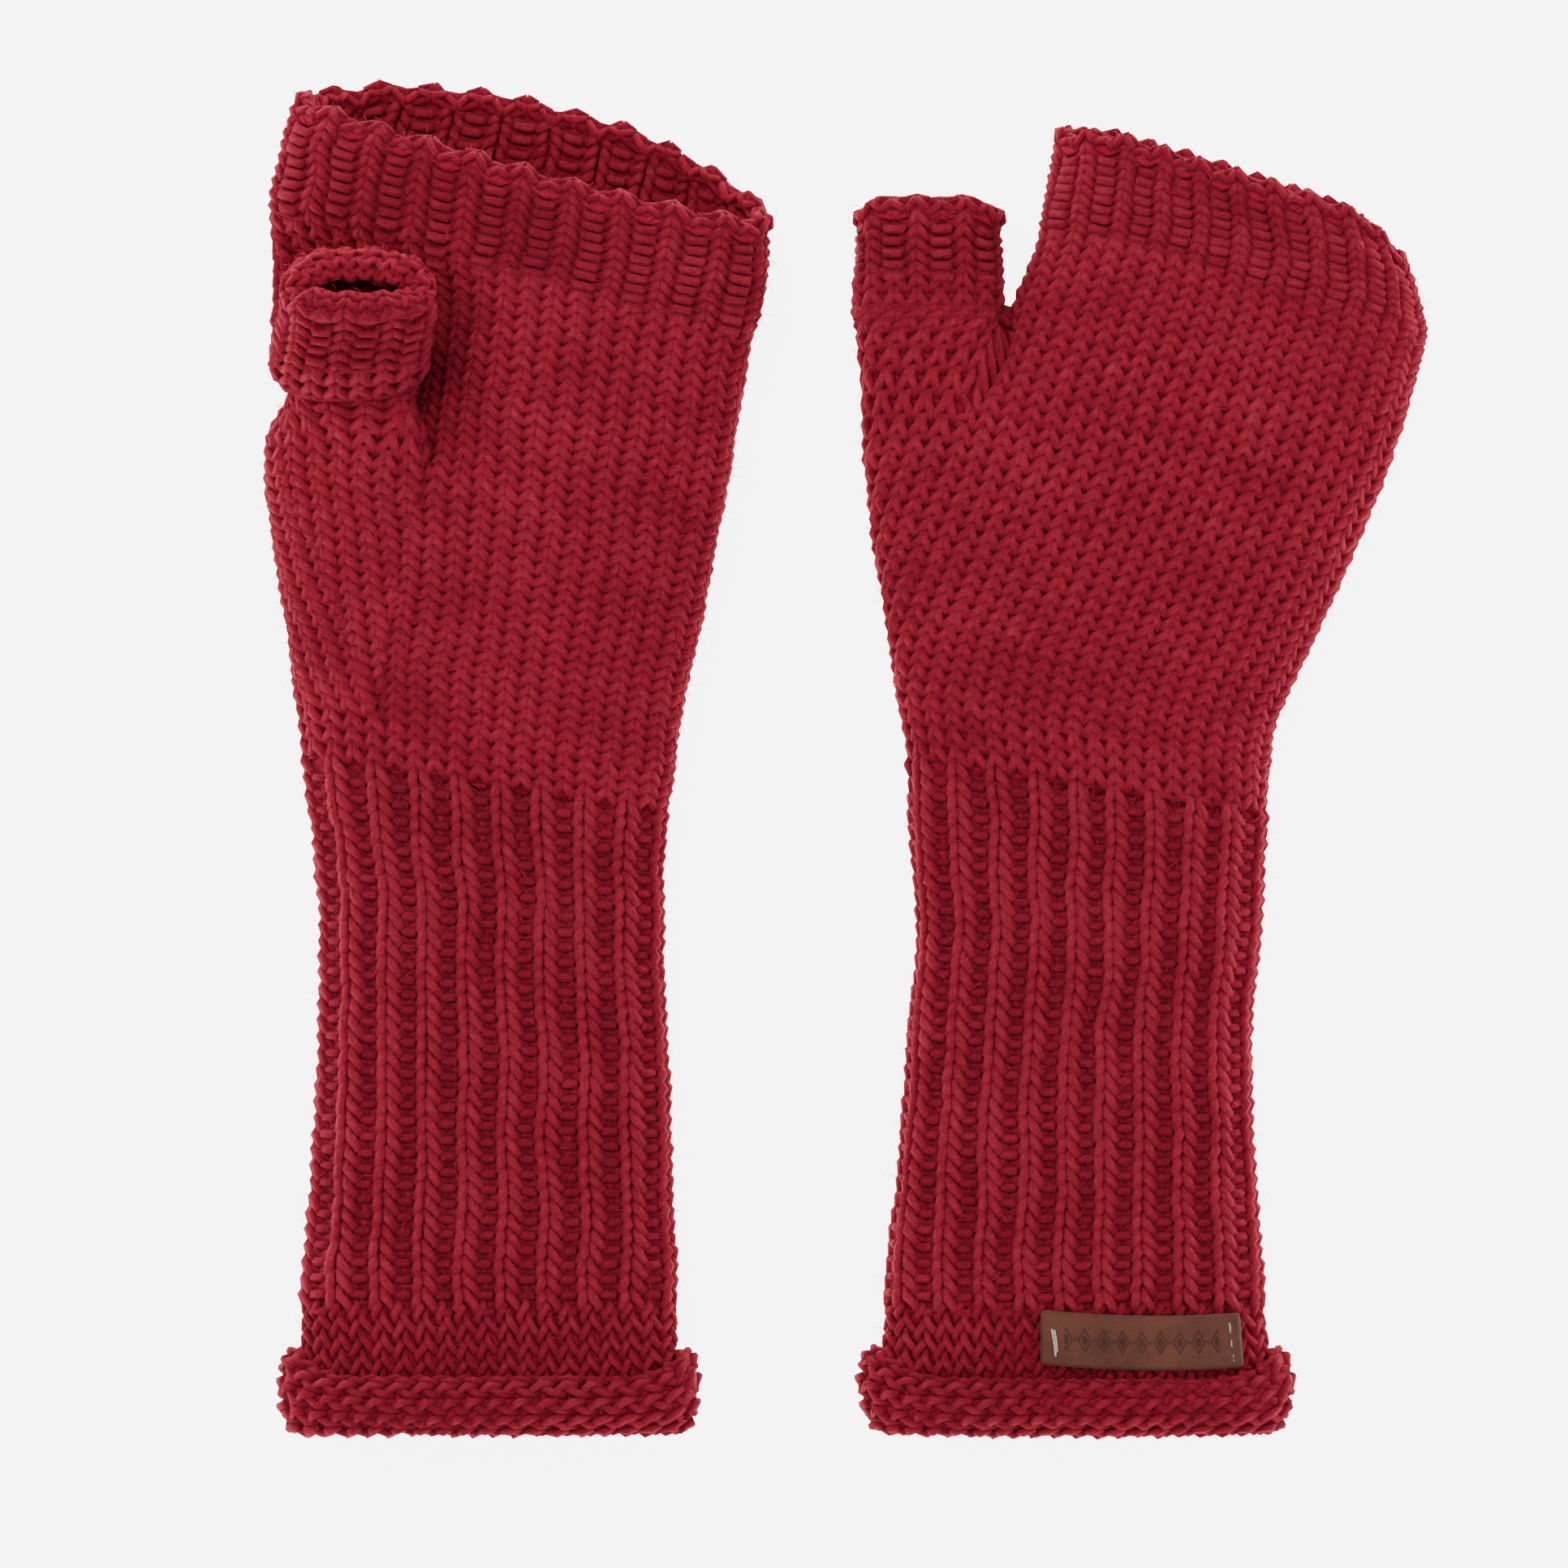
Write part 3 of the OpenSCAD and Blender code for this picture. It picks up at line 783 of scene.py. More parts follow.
def run_tree(name, mesh, tree, values):
    """The tree's result on a mesh, as a plain mesh."""
    holder = new_object(name + "_base", mesh)
    modifier = holder.modifiers.new("made", "NODES")
    modifier.node_group = tree
    for item in tree.interface.items_tree:
        if item.in_out == "INPUT" and item.name in values:
            modifier[item.identifier] = values[item.name]
    depsgraph = bpy.context.evaluated_depsgraph_get()
    depsgraph.update()
    made = bpy.data.meshes.new_from_object(holder.evaluated_get(depsgraph), depsgraph=depsgraph)
    made.name = name
    bpy.data.objects.remove(holder)
    bpy.data.meshes.remove(mesh)
    return made


# Fibres tilt up to this far from upright, in radians, and vary in length between these shares
HAIR_TILT = 0.9
HAIR_LENGTHS = (0.35, 1.3)
HAIR_SIDES = 3


def hair_tree():
    """Short bent fibres standing out of the yarn."""
    tree = bpy.data.node_groups.new("yarn_fuzz", "GeometryNodeTree")
    tree.interface.new_socket("Yarn Surface", in_out="INPUT", socket_type="NodeSocketGeometry")
    for name, kind, default in (
            ("Density", "NodeSocketFloat", 40000.0), ("Hair Length", "NodeSocketFloat", 0.004),
            ("Hair Radius", "NodeSocketFloat", 0.00005), ("Lowest", "NodeSocketFloat", 0.0005),
            ("Seed", "NodeSocketInt", 3)):
        tree.interface.new_socket(name, in_out="INPUT", socket_type=kind).default_value = default
    tree.interface.new_socket("Fibre", in_out="INPUT", socket_type="NodeSocketMaterial")
    tree.interface.new_socket("Fuzz", in_out="OUTPUT", socket_type="NodeSocketGeometry")
    t = Tree(tree)
    given = t.node("NodeGroupInput").outputs
    height = t.stored("height", "FLOAT")
    high = t.math("GREATER_THAN", height, given["Lowest"])
    spread = t.node("GeometryNodeDistributePointsOnFaces", {
        "Mesh": given["Yarn Surface"], "Selection": high, "Density": given["Density"], "Seed": given["Seed"]})
    line = t.node("GeometryNodeCurvePrimitiveBezierSegment", {
        "Resolution": 2, "Start": (0, 0, -0.05), "Start Handle": (0, 0.1, 0.35),
        "End Handle": (0.12, 0.45, 0.5), "End": (0.3, 0.85, 0.42)})
    ring = t.node("GeometryNodeCurvePrimitiveCircle", {
        "Resolution": HAIR_SIDES, "Radius": t.math("DIVIDE", given["Hair Radius"], given["Hair Length"])})
    hair = t.node("GeometryNodeCurveToMesh", {
        "Curve": line.outputs[0], "Profile Curve": ring.outputs[0], "Fill Caps": True})
    turn = t.node("FunctionNodeRandomValue", {
        "Max": (HAIR_TILT, HAIR_TILT, 2 * math.pi), "Min": (-HAIR_TILT, -HAIR_TILT, 0.0),
        "Seed": given["Seed"]}, data_type="FLOAT_VECTOR").outputs[0]
    facing = t.node("FunctionNodeAlignRotationToVector", {
        "Vector": spread.outputs["Normal"]}, axis="Z").outputs[0]
    local = t.node("FunctionNodeEulerToRotation", {0: turn}).outputs[0]
    rotation = t.node("FunctionNodeRotateRotation", {"Rotation": facing, "Rotate By": local},
                      rotation_space="LOCAL").outputs[0]
    size = t.node("FunctionNodeRandomValue", {"Seed": t.math("ADD", given["Seed"], 1)}, data_type="FLOAT")
    size.inputs[2].default_value, size.inputs[3].default_value = HAIR_LENGTHS
    scale = t.math("MULTIPLY", size.outputs[1], given["Hair Length"])
    placed = t.node("GeometryNodeInstanceOnPoints", {
        "Points": spread.outputs["Points"], "Instance": hair.outputs[0], "Rotation": rotation,
        "Scale": t.node("ShaderNodeCombineXYZ", {0: scale, 1: scale, 2: scale}).outputs[0]})
    real = t.node("GeometryNodeRealizeInstances", {"Geometry": placed.outputs[0]})
    dressed = t.node("GeometryNodeSetMaterial", {"Geometry": real.outputs[0], "Material": given["Fibre"]})
    link(tree, dressed.outputs[0], t.node("NodeGroupOutput").inputs["Fuzz"])
    return tree


def node_tree(name):
    """One of the two node trees, made the first time it is asked for."""
    return bpy.data.node_groups.get(name) or {"knit_loops": knit_tree, "yarn_fuzz": hair_tree}[name]()


# How near the ground yarn starts to be pressed flat, and how near it may come
SETTLE_FROM = 0.0012
SETTLE_LEAST = 0.0001
# The backing: courses past the section's ends, its two sides against the surface, and the height it is given,
# which paints it partway to the yarn's shade colour as painted shade
BACKING_OVERLAP = 0.6
BACKING_OUT = 0.3
BACKING_IN = -0.5
BACKING_HEIGHT = 0.001


def settle(verts):
    """Yarn that would sink below the surface the gloves lie on is pressed flat against it."""
    z = verts[:, 2]
    low = z < SETTLE_FROM
    give = SETTLE_FROM - SETTLE_LEAST
    verts[low, 2] = SETTLE_LEAST + give * np.exp((z[low] - SETTLE_FROM) / give)
    return verts


def knitted_piece(side, section, surface, closed, first, wales, courses, loops, slot):
    """One section: strands of yarn over a surface, with a thin backing sheet that closes the gaps, painted
    partway to the yarn's shade colour.
    """
    name = f"{side}_{section}_yarn"
    settings = bpy.context.scene.knitted_gloves
    points, places = surface
    points = points + GLOVES[side].place
    yarn = run_tree(name, base_mesh(name, points, places, closed), node_tree("knit_loops"), {
        **loops, "First Wale": first, "Wales": wales, "Wales Round": wales if closed else 0,
        "Courses": courses, "Yarn": finish(slot), "Yarn Radius": loops["Yarn Radius"] * settings.yarn_scale,
        "Unevenness": loops["Unevenness"] * settings.unevenness})
    verts, corners, starts = read_mesh(yarn)
    height = np.empty(len(verts), dtype=np.float32)
    yarn.attributes["height"].data.foreach_get("value", height)
    bpy.data.meshes.remove(yarn)

    # How far each point lies along its strand in stitches, and which way round the strand
    sides = loops["Sides"]
    turn = 2 * math.pi * (np.arange(len(verts)) % sides) / sides
    along = np.arange(len(verts)) // sides / loops["Steps"]
    strand = np.stack([along, np.cos(turn), np.sin(turn)], axis=-1)

    level = places[:, 0, 1]
    keep = (level > -BACKING_OVERLAP) & (level < courses + BACKING_OVERLAP)
    normals = surface_normals(points, closed)[keep]
    skin, faces = closed_skin(points[keep] + normals * BACKING_OUT,
                              points[keep] + normals * BACKING_IN, closed)
    verts, corners, starts = merged([
        (verts, corners, starts), (skin * MM, faces.ravel(), np.arange(0, faces.size, 4))])
    # The backing sheet gets a fixed height, which paints it as painted shade between the stitches
    mesh = write_mesh(name, settle(verts), corners, starts, {
        "height": np.concatenate([height, np.full(len(skin), BACKING_HEIGHT)]),
        "strand": np.concatenate([strand, np.zeros((len(skin), 3))])})
    return new_piece(mesh, slot)


# ---------------------------------------------------------------- materials

class Shade(Tree):
    """The same short way for shader nodes."""

    def attribute(self, name):
        return self.node("ShaderNodeAttribute", attribute_name=name)

    def noise(self, vector, scale, detail=2.0, roughness=0.5):
        return self.node("ShaderNodeTexNoise", {"Vector": vector, "Scale": scale, "Detail": detail,
                                                "Roughness": roughness}).outputs["Fac"]

    def ramp(self, value, low, high, to_low=0.0, to_high=1.0):
        return self.node("ShaderNodeMapRange", {"Value": value, "From Min": low, "From Max": high,
                                                "To Min": to_low, "To Max": to_high}).outputs[0]

    def mix(self, factor, a, b, blend="MIX"):
        made = self.node("ShaderNodeMix", data_type="RGBA", blend_type=blend)
        for index, value in ((0, factor), (6, a), (7, b)):
            if isinstance(value, bpy.types.NodeSocket):
                link(self.tree, value, made.inputs[index])
            else:
                made.inputs[index].default_value = value
        return made.outputs[2]


# The frame has plain materials of the same names, so these names end differently
FINISHED = "_finish"


def new_material(name):
    material = bpy.data.materials.new(name + FINISHED)
    material.use_nodes = True
    shade = Shade(material.node_tree)
    surface = material.node_tree.nodes["Principled BSDF"]
    return material, shade, surface


def linear(rgb):
    """A screen colour in 0 to 255 as a shader colour."""
    c = np.array(rgb, dtype=float) / 255
    c = np.where(c <= 0.04045, c / 12.92, ((c + 0.055) / 1.055) ** 2.4)
    return (*[float(v) for v in c], 1.0)


# How light each copy of the same yarn is painted against the plain knitting's, as painted light and shade per
# section, and how often its plies turn in one stitch
PAINTED_YARN_LEVELS = {"plain_knit_yarn": 1.0, "rib_yarn": 0.93, "hem_yarn": 0.95, "cast_off_yarn": 1.12}
PLY_TURNS = 1.0

# Screen colours, from 0 to 255, of what the settings don't hold
YARN_SHEEN = (240, 110, 125)
FUZZ_TONES = ((150, 20, 38), (190, 58, 74))
LEATHER_TONES = ((62, 30, 21), (108, 60, 44))
STAMPED_LEATHER = (44, 23, 20)
CUT_LEATHER = (48, 25, 18)
THREAD_TONES = ((150, 128, 118), (206, 190, 180))


def yarn_material(name):
    """Soft plied wool: painted shade darkens it between the stitches and a painted highlight lightens their
    crowns, with fine fibres.
    """
    material, s, surface = new_material(name)
    colours = bpy.context.scene.knitted_gloves
    # Painted light and shade: each section's copy of the one yarn is made lighter or darker
    level = PAINTED_YARN_LEVELS[name]
    deep, mean, pale = ([c * level for c in tone[:3]] + [1.0]
                        for tone in (colours.yarn_painted_shade, colours.yarn_colour, colours.yarn_painted_highlight))
    place = s.node("ShaderNodeTexCoord").outputs["Object"]
    strand = s.node("ShaderNodeSeparateXYZ", {0: s.attribute("strand").outputs["Vector"]}).outputs
    height = s.math("ABSOLUTE", s.attribute("height").outputs["Fac"])

    # The plies and fibres wind round the strand, so its side is turned as it goes along
    turn = s.math("MULTIPLY", strand[0], PLY_TURNS * 2 * math.pi)
    sine, cosine = s.math("SINE", turn), s.math("COSINE", turn)
    ply = s.math("ADD", s.math("MULTIPLY", sine, strand[1]), s.math("MULTIPLY", cosine, strand[2]))
    across_ply = s.math("SUBTRACT", s.math("MULTIPLY", cosine, strand[1]),
                        s.math("MULTIPLY", sine, strand[2]))
    lengthwise = s.node("ShaderNodeCombineXYZ", {
        0: s.math("MULTIPLY", strand[0], 4.5), 1: s.math("MULTIPLY", ply, 3.2),
        2: s.math("MULTIPLY", across_ply, 3.2)}).outputs[0]
    fibres = s.noise(lengthwise, 2.2, 5.0, 0.72)
    stray = s.noise(place, 1500.0, 3.0, 0.7)
    clumps = s.noise(place, 430.0, 3.0, 0.6)
    patches = s.noise(place, 45.0, 3.0, 0.55)

    def about(value, size):
        return s.math("MULTIPLY", s.math("SUBTRACT", value, 0.5), size)

    # Painted shade: the lower the yarn lies, the nearer it is painted to the shade colour, varied by random
    # clumps
    low = s.math("ADD", s.ramp(height, 0.0002, 0.0024), about(clumps, 0.7))
    base = s.mix(s.ramp(low, 0.05, 0.75), deep, mean)
    # Painted highlight: the highest yarn, on the stitches' crowns, is painted paler, broken up by the fibre
    # noise
    base = s.mix(s.ramp(s.math("ADD", low, about(fibres, 1.3)), 0.7, 1.7), base, pale)
    tone = s.math("ADD", s.math("ADD", 1.0, about(fibres, 1.0)),
                  s.math("ADD", about(stray, 0.85), about(patches, 0.25)))
    tone = s.math("ADD", tone, s.math("MULTIPLY", ply, 0.06))
    grey = s.node("ShaderNodeCombineXYZ", {0: tone, 1: tone, 2: tone}).outputs[0]
    colour = s.mix(1.0, base, grey, "MULTIPLY")
    link(s.tree, colour, surface.inputs["Base Color"])
    relief = s.math("ADD", s.math("MULTIPLY", ply, 0.5), s.math("MULTIPLY", fibres, 1.6))
    relief = s.math("ADD", relief, s.math("ADD", s.math("MULTIPLY", stray, 1.1), clumps))
    bump = s.node("ShaderNodeBump", {"Strength": 0.9, "Distance": 0.0006, "Height": relief})
    link(s.tree, bump.outputs[0], surface.inputs["Normal"])
    link(s.tree, s.ramp(fibres, 0.2, 0.8, 0.8, 0.98), surface.inputs["Roughness"])
    surface.inputs["Specular IOR Level"].default_value = 0.08
    surface.inputs["Sheen Weight"].default_value = 0.12
    surface.inputs["Sheen Roughness"].default_value = 0.5
    surface.inputs["Sheen Tint"].default_value = linear(YARN_SHEEN)
    return material


def fuzz_material():
    """Single fibres, a little paler and duller than the yarn."""
    material, s, surface = new_material("yarn_fuzz")
    place = s.node("ShaderNodeTexCoord").outputs["Object"]
    tone = s.noise(place, 300.0, 2.0)
    link(s.tree, s.mix(tone, *map(linear, FUZZ_TONES)), surface.inputs["Base Color"])
    surface.inputs["Roughness"].default_value = 0.85
    surface.inputs["Specular IOR Level"].default_value = 0.1
    return material


def leather_material():
    """Napped brown hide: brushed patches, pressed marks darker, cut edge darker still."""
    material, s, surface = new_material("label_leather")
    place = s.node("ShaderNodeTexCoord").outputs["Object"]
    stamp = s.attribute("stamp").outputs["Fac"]
    edge = s.attribute("edge").outputs["Fac"]
    nap = s.noise(place, 2200.0, 4.0, 0.7)
    brushed = s.noise(place, 210.0, 3.0, 0.6)
    cloud = s.noise(place, 60.0, 2.0, 0.5)
    patches = s.math("ADD", s.math("MULTIPLY", brushed, 0.45), s.math("MULTIPLY", cloud, 0.5))
    tone = s.math("ADD", s.math("MULTIPLY", nap, 0.45), patches)
    base = s.mix(s.ramp(tone, 0.45, 0.95), *map(linear, LEATHER_TONES))
    base = s.mix(s.math("MULTIPLY", stamp, 0.62), base, linear(STAMPED_LEATHER))
    base = s.mix(s.math("MULTIPLY", edge, 0.45), base, linear(CUT_LEATHER))
    link(s.tree, base, surface.inputs["Base Color"])
    relief = s.math("ADD", nap, s.math("MULTIPLY", brushed, 0.8))
    bump = s.node("ShaderNodeBump", {"Strength": 0.6, "Distance": 0.00025, "Height": relief})
    link(s.tree, bump.outputs[0], surface.inputs["Normal"])
    link(s.tree, s.ramp(brushed, 0.2, 0.8, 0.72, 0.92), surface.inputs["Roughness"])
    surface.inputs["Specular IOR Level"].default_value = 0.25
    surface.inputs["Sheen Weight"].default_value = 0.15
    surface.inputs["Sheen Roughness"].default_value = 0.5
    return material


def thread_material():
    """Pale sewing thread with a fine twist."""
    material, s, surface = new_material("label_thread")
    place = s.node("ShaderNodeTexCoord").outputs["Object"]
    fine = s.noise(place, 2600.0, 3.0, 0.6)
    link(s.tree, s.mix(fine, *map(linear, THREAD_TONES)), surface.inputs["Base Color"])
    bump = s.node("ShaderNodeBump", {"Strength": 0.4, "Distance": 0.0001, "Height": fine})
    link(s.tree, bump.outputs[0], surface.inputs["Normal"])
    surface.inputs["Roughness"].default_value = 0.55
    surface.inputs["Sheen Weight"].default_value = 0.2
    return material


def finish(name):
    """One of the object's finishes, made the first time it is asked for."""
    made = bpy.data.materials.get(name + FINISHED)
    if made:
        return made
    if name in PAINTED_YARN_LEVELS:
        return yarn_material(name)
    makers = {"yarn_fuzz": fuzz_material, "label_leather": leather_material, "label_thread": thread_material}
    return makers[name]()


# ---------------------------------------------------------------- sections

PLAIN = {"Steps": 10, "Sides": 6, "Yarn Radius": 0.00135, "Loop Width": 0.34, "Loop Height": 0.76,
         "Loop Depth": 0.0008, "Loop Arch": 0.0008, "Loop Lean": 0.05, "Unevenness": 0.65}
RIBBED = {"Steps": 9, "Sides": 6, "Yarn Radius": 0.00132, "Loop Width": 0.31, "Loop Height": 0.82,
          "Loop Depth": 0.0009, "Loop Arch": 0.0004, "Loop Lean": 0.2, "Rib": 1.0, "Rib Relief": 0.0006,
          "Rib Squeeze": 0.08, "Unevenness": 0.85}
BAND = {**RIBBED, "Yarn Radius": 0.00125, "Rib Relief": 0.0001, "Rib Squeeze": -0.08, "Loop Lean": 0.1,
        "Loop Height": 0.75}
CAST_OFF = {**PLAIN, "Yarn Radius": 0.00105, "Loop Height": 0.7, "Loop Depth": 0.0009, "Loop Arch": 0.0006,
            "Unevenness": 0.8}
HEM_KNIT = {**PLAIN, "Yarn Radius": 0.00105, "Loop Height": 0.75, "Loop Depth": 0.0011, "Loop Arch": 0.0002,
            "Loop Lean": 0.1, "Loop Slant": 0.4, "Unevenness": 0.9}

# How far the middle of the yarn lies inside the outline, in millimetres
INSET = 1.9

# Courses, or rows, in each section
HEM_COURSES = 14
FOREARM_COURSES = 34
WRIST_COURSES = 3
PALM_COURSES = {"left": 29, "right": 27}
FINGER_COURSES = 7
FINGER_BAND_COURSES = 9
THUMB_ROOT_COURSES = 2
THUMB_BAND_COURSES = 5

# The hem: so many courses are rolled, each turned on from the last by a part of a stitch
ROLL_COURSES = 9.0
ROLL_SKEW = 0.28
# The roll's turn in degrees, its half height and half depth, and how much taller it is at the side folds
ROLL_START = 150
ROLL_TURN = 330
ROLL_HEIGHT = 5.4
ROLL_DEPTH = 3.1
EAR_HEIGHT = 3.4
EAR_POWER = 8
# How far up and out the roll's middle lies, and how the knitting above it flares out to meet it
HEM_UP = 1.7
HEM_OUT = 1.2
HEM_FLARE = 1.6
# Between these turns, in degrees, the roll winds in to this share of its size
TUCK_TURNS = (50, 160)
TUCK = 0.5

# Bands stand this far proud, and their edges rise and fall with the ribs
BAND_PROUD = 0.5
RIM_SCALLOP = 1.1
THUMB_SCALLOP = 0.4

# Cast-off edges, in millimetres: outer side, inner side, how far they rise, and their courses.
# The left thumb's edge is thick and nearly closes over its opening.
RIM_BELOW_EDGE = 1.1
FINGER_RIM_SHAPE = (0.9, -0.9, 2.4, 3)
THUMB_RIM_SHAPE = {"left": (1.0, -4.6, 2.4, 4), "right": (1.0, -0.9, 2.4, 3)}


def seed_of(side, section):
    """A fixed seed for each section."""
    return sum((i + 1) * ord(c) for i, c in enumerate(side + section)) % 97


def along_glove(low, high, courses):
    return lambda course: low + (high - low) * course / courses


def growing(scallop, courses):
    """A scallop that grows from nothing at a band's foot to its full height at the rim."""
    return lambda course: scallop * max(0, course / courses) ** 2


def knit_tube(side, section, point, height_of, wales, courses, loops, slot, skew=None, scallop=None):
    """A tube of knitting, whose rows may rise and fall with the ribs by scallop(course) millimetres."""
    points, places = tube_surface(point, wales, courses, height_of, skew)
    if scallop:
        way = GLOVES[side].thumb_way if "thumb" in section else np.array((0.0, 1.0, 0.0))
        beat = np.sin(np.pi * places[..., 0])
        lift = np.array([scallop(course) for course in places[:, 0, 1]])
        points = points + (beat * lift[:, None])[..., None] * way
    return knitted_piece(side, section, (points, places), True, 0, wales, courses,
                         {**loops, "Seed": seed_of(side, section)}, slot)


def knit_patch(side, section, seed_name, row, low, high, courses, columns):
    """An open patch of plain knitting, wide enough in whole wales to cover its surface."""
    surface = patch_surface(row, courses, along_glove(low, high, courses), columns)
    wales = surface[1][..., 0]
    first = math.floor(wales.min()) - 1
    count = math.ceil(wales.max()) + 1 - first
    return knitted_piece(side, section, surface, False, first, count, courses,
                         {**PLAIN, "Seed": seed_of(side, seed_name)}, "plain_knit_yarn")


def finish_section(piece, side, section, part=None):
    """A section stands for its own CAD node, and rides on one body or, with none given, stays fixed where it
    is.
    """
    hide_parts(f"{side}_{section}")
    if part:
        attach(piece, f"{side}_{part}")
    else:
        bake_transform(piece)


def roll_path(course, angle):
    """Where a course of the hem lies: height up the glove, and distance out from the outline."""
    radius_up = ROLL_HEIGHT + EAR_HEIGHT * np.abs(np.cos(angle)) ** EAR_POWER
    middle = radius_up + HEM_UP
    if course >= ROLL_COURSES:
        t = (course - ROLL_COURSES) / (HEM_COURSES - ROLL_COURSES)
        flare = HEM_FLARE * (1 - t) ** 2
        return middle + t * (HEM_TOP - middle), HEM_OUT - ROLL_DEPTH + flare * (1 - (1 - t) ** 6)
    turn = math.radians(ROLL_START - (ROLL_TURN / ROLL_COURSES) * course)
    wound = 1 - TUCK * float(smooth(*map(math.radians, TUCK_TURNS), turn))
    return middle + radius_up * wound * math.sin(turn), HEM_OUT + ROLL_DEPTH * wound * math.cos(turn)


def make_hem(side):
    glove = GLOVES[side]

    def point(height, angle, course):
        up, out = roll_path(course, angle)
        return body_point(glove, up, angle, out)

    def skew(course):
        return -ROLL_SKEW * max(0.0, ROLL_COURSES - course)

    piece = knit_tube(side, "rolled_hem", point, lambda course: course, glove.wales["arm"], HEM_COURSES,
                      HEM_KNIT, "hem_yarn", skew)
    finish_section(piece, side, "rolled_hem", "forearm")


def make_forearm(side):
    glove = GLOVES[side]
    piece = knit_tube(side, "forearm_rib", lambda h, a, c: body_point(glove, h, a, -INSET),
                      along_glove(HEM_TOP, WRIST_LOW, FOREARM_COURSES), glove.wales["arm"], FOREARM_COURSES,
                      RIBBED, "rib_yarn")
    finish_section(piece, side, "forearm_rib", "forearm")


def make_wrist(side):
    glove = GLOVES[side]
    piece = knit_tube(side, "wrist_rows", lambda h, a, c: body_point(glove, h, a, -INSET),
                      along_glove(WRIST_LOW, WRIST_HIGH, WRIST_COURSES), glove.wales["arm"], WRIST_COURSES,
                      PLAIN, "plain_knit_yarn")
    finish_section(piece, side, "wrist_rows")


def make_hand(side):
    layout = HandLayout(GLOVES[side], INSET)
    courses = PALM_COURSES[side]
    piece = knit_patch(side, "palm_section", "palm", layout.palm_row, WRIST_HIGH, CROTCH, courses,
                       PALM_COLUMNS)
    finish_section(piece, side, "palm_section", "hand")
    courses = round(courses * (CROTCH - GUSSET_START) / (CROTCH - WRIST_HIGH))
    piece = knit_patch(side, "thumb_gusset", "gusset", layout.gusset_row, GUSSET_START, CROTCH, courses,
                       GUSSET_COLUMNS)
    finish_section(piece, side, "thumb_gusset", "hand")


def over_rim(edge, outer, inner, rise, courses):
    """A cast-off edge turns over the rim, from its outside to its inside."""
    def path(course):
        turn = math.pi * course / courses
        up = edge - RIM_BELOW_EDGE - rise * (1 - math.sin(turn))
        return up, (outer + inner) / 2 + (outer - inner) / 2 * math.cos(turn)
    return path


def make_fingers(side):
    glove = GLOVES[side]
    rim = over_rim(FINGER_EDGE, *FINGER_RIM_SHAPE)

    def flush(height, angle, course):
        return finger_point(glove, height, angle, -INSET)

    def proud(height, angle, course):
        return finger_point(glove, height, angle, -INSET + BAND_PROUD * float(smooth(-0.5, 1.0, course)))

    def turned(height, angle, course):
        up, out = rim(course)
        return finger_point(glove, up, angle, -INSET + BAND_PROUD + out)

    for section, low, high, courses, loops, slot, shape, scallop in (
            ("finger_section", CROTCH, BAND_START, FINGER_COURSES, PLAIN, "plain_knit_yarn", flush, None),
            ("finger_band", BAND_START, RIM, FINGER_BAND_COURSES, BAND, "rib_yarn", proud,
             growing(RIM_SCALLOP, FINGER_BAND_COURSES)),
            ("finger_cast_off", RIM, FINGER_EDGE, FINGER_RIM_SHAPE[-1], CAST_OFF, "cast_off_yarn", turned,
             lambda course: RIM_SCALLOP)):
        piece = knit_tube(side, section, shape, along_glove(low, high, courses), glove.wales["fingers"],
                          courses, loops, slot, scallop=scallop)
        finish_section(piece, side, section, "hand")


def make_thumb(side):
    glove = GLOVES[side]
    rim = over_rim(THUMB_EDGE, *THUMB_RIM_SHAPE[side])

    def straight(along, angle, course):
        return thumb_point(glove, along, angle, -INSET)

    def turned(along, angle, course):
        up, out = rim(course)
        return thumb_point(glove, up, angle, -INSET + out)

    for section, low, high, courses, loops, slot, shape, scallop, part in (
            ("thumb_root", 0.0, THUMB_ROOT, THUMB_ROOT_COURSES, PLAIN, "plain_knit_yarn", straight,
             None, None),
            ("thumb_band", THUMB_ROOT, THUMB_RIM, THUMB_BAND_COURSES, BAND, "rib_yarn", straight,
             growing(THUMB_SCALLOP, THUMB_BAND_COURSES), "thumb"),
            ("thumb_cast_off", THUMB_RIM, THUMB_EDGE, THUMB_RIM_SHAPE[side][-1], CAST_OFF, "cast_off_yarn",
             turned, lambda course: THUMB_SCALLOP, "thumb")):
        piece = knit_tube(side, section, shape, along_glove(low, high, courses), glove.wales["thumb"],
                          courses, loops, slot, scallop=scallop)
        finish_section(piece, side, section, part)


# ---------------------------------------------------------------- fuzz, label and threads

FUZZY = {"forearm": ("rolled_hem", "forearm_rib"),
         "hand": ("palm_section", "thumb_gusset", "finger_section", "finger_band", "finger_cast_off"),
         "thumb": ("thumb_band", "thumb_cast_off")}
# Fibres grow only on yarn this far above the surface, in metres
FUZZ_FROM = 0.0009
FUZZ_SEED = 3


def make_fuzz(side, part, sections, density, length):
    """Loose fibres over the yarn of one body, made as one piece."""
    tufts = []
    for number, section in enumerate(sections):
        yarn = bpy.data.objects[f"{side}_{section}_yarn"].data.copy()
        hairs = run_tree(f"{section}_hairs", yarn, node_tree("yarn_fuzz"), {
            "Density": density, "Hair Length": length, "Lowest": FUZZ_FROM, "Seed": FUZZ_SEED + number,
            "Fibre": finish("yarn_fuzz")})
        tufts.append(read_mesh(hairs))
        bpy.data.meshes.remove(hairs)
    verts, corners, starts = merged(tufts)
    piece = new_piece(write_mesh(f"{side}_{part}_fuzz", settle(verts), corners, starts, {}), "yarn_fuzz")
    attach(piece, f"{side}_{part}")


# The thread: points between two given ones, how deep its plies show, and a way it never runs along
THREAD_SAMPLES = 8
PLY_DEPTH = 0.16
NEVER_ALONG = (0.31, 0.17, 0.93)
THREAD_RADIUS = 0.24
THREAD_TWIST = 5.0


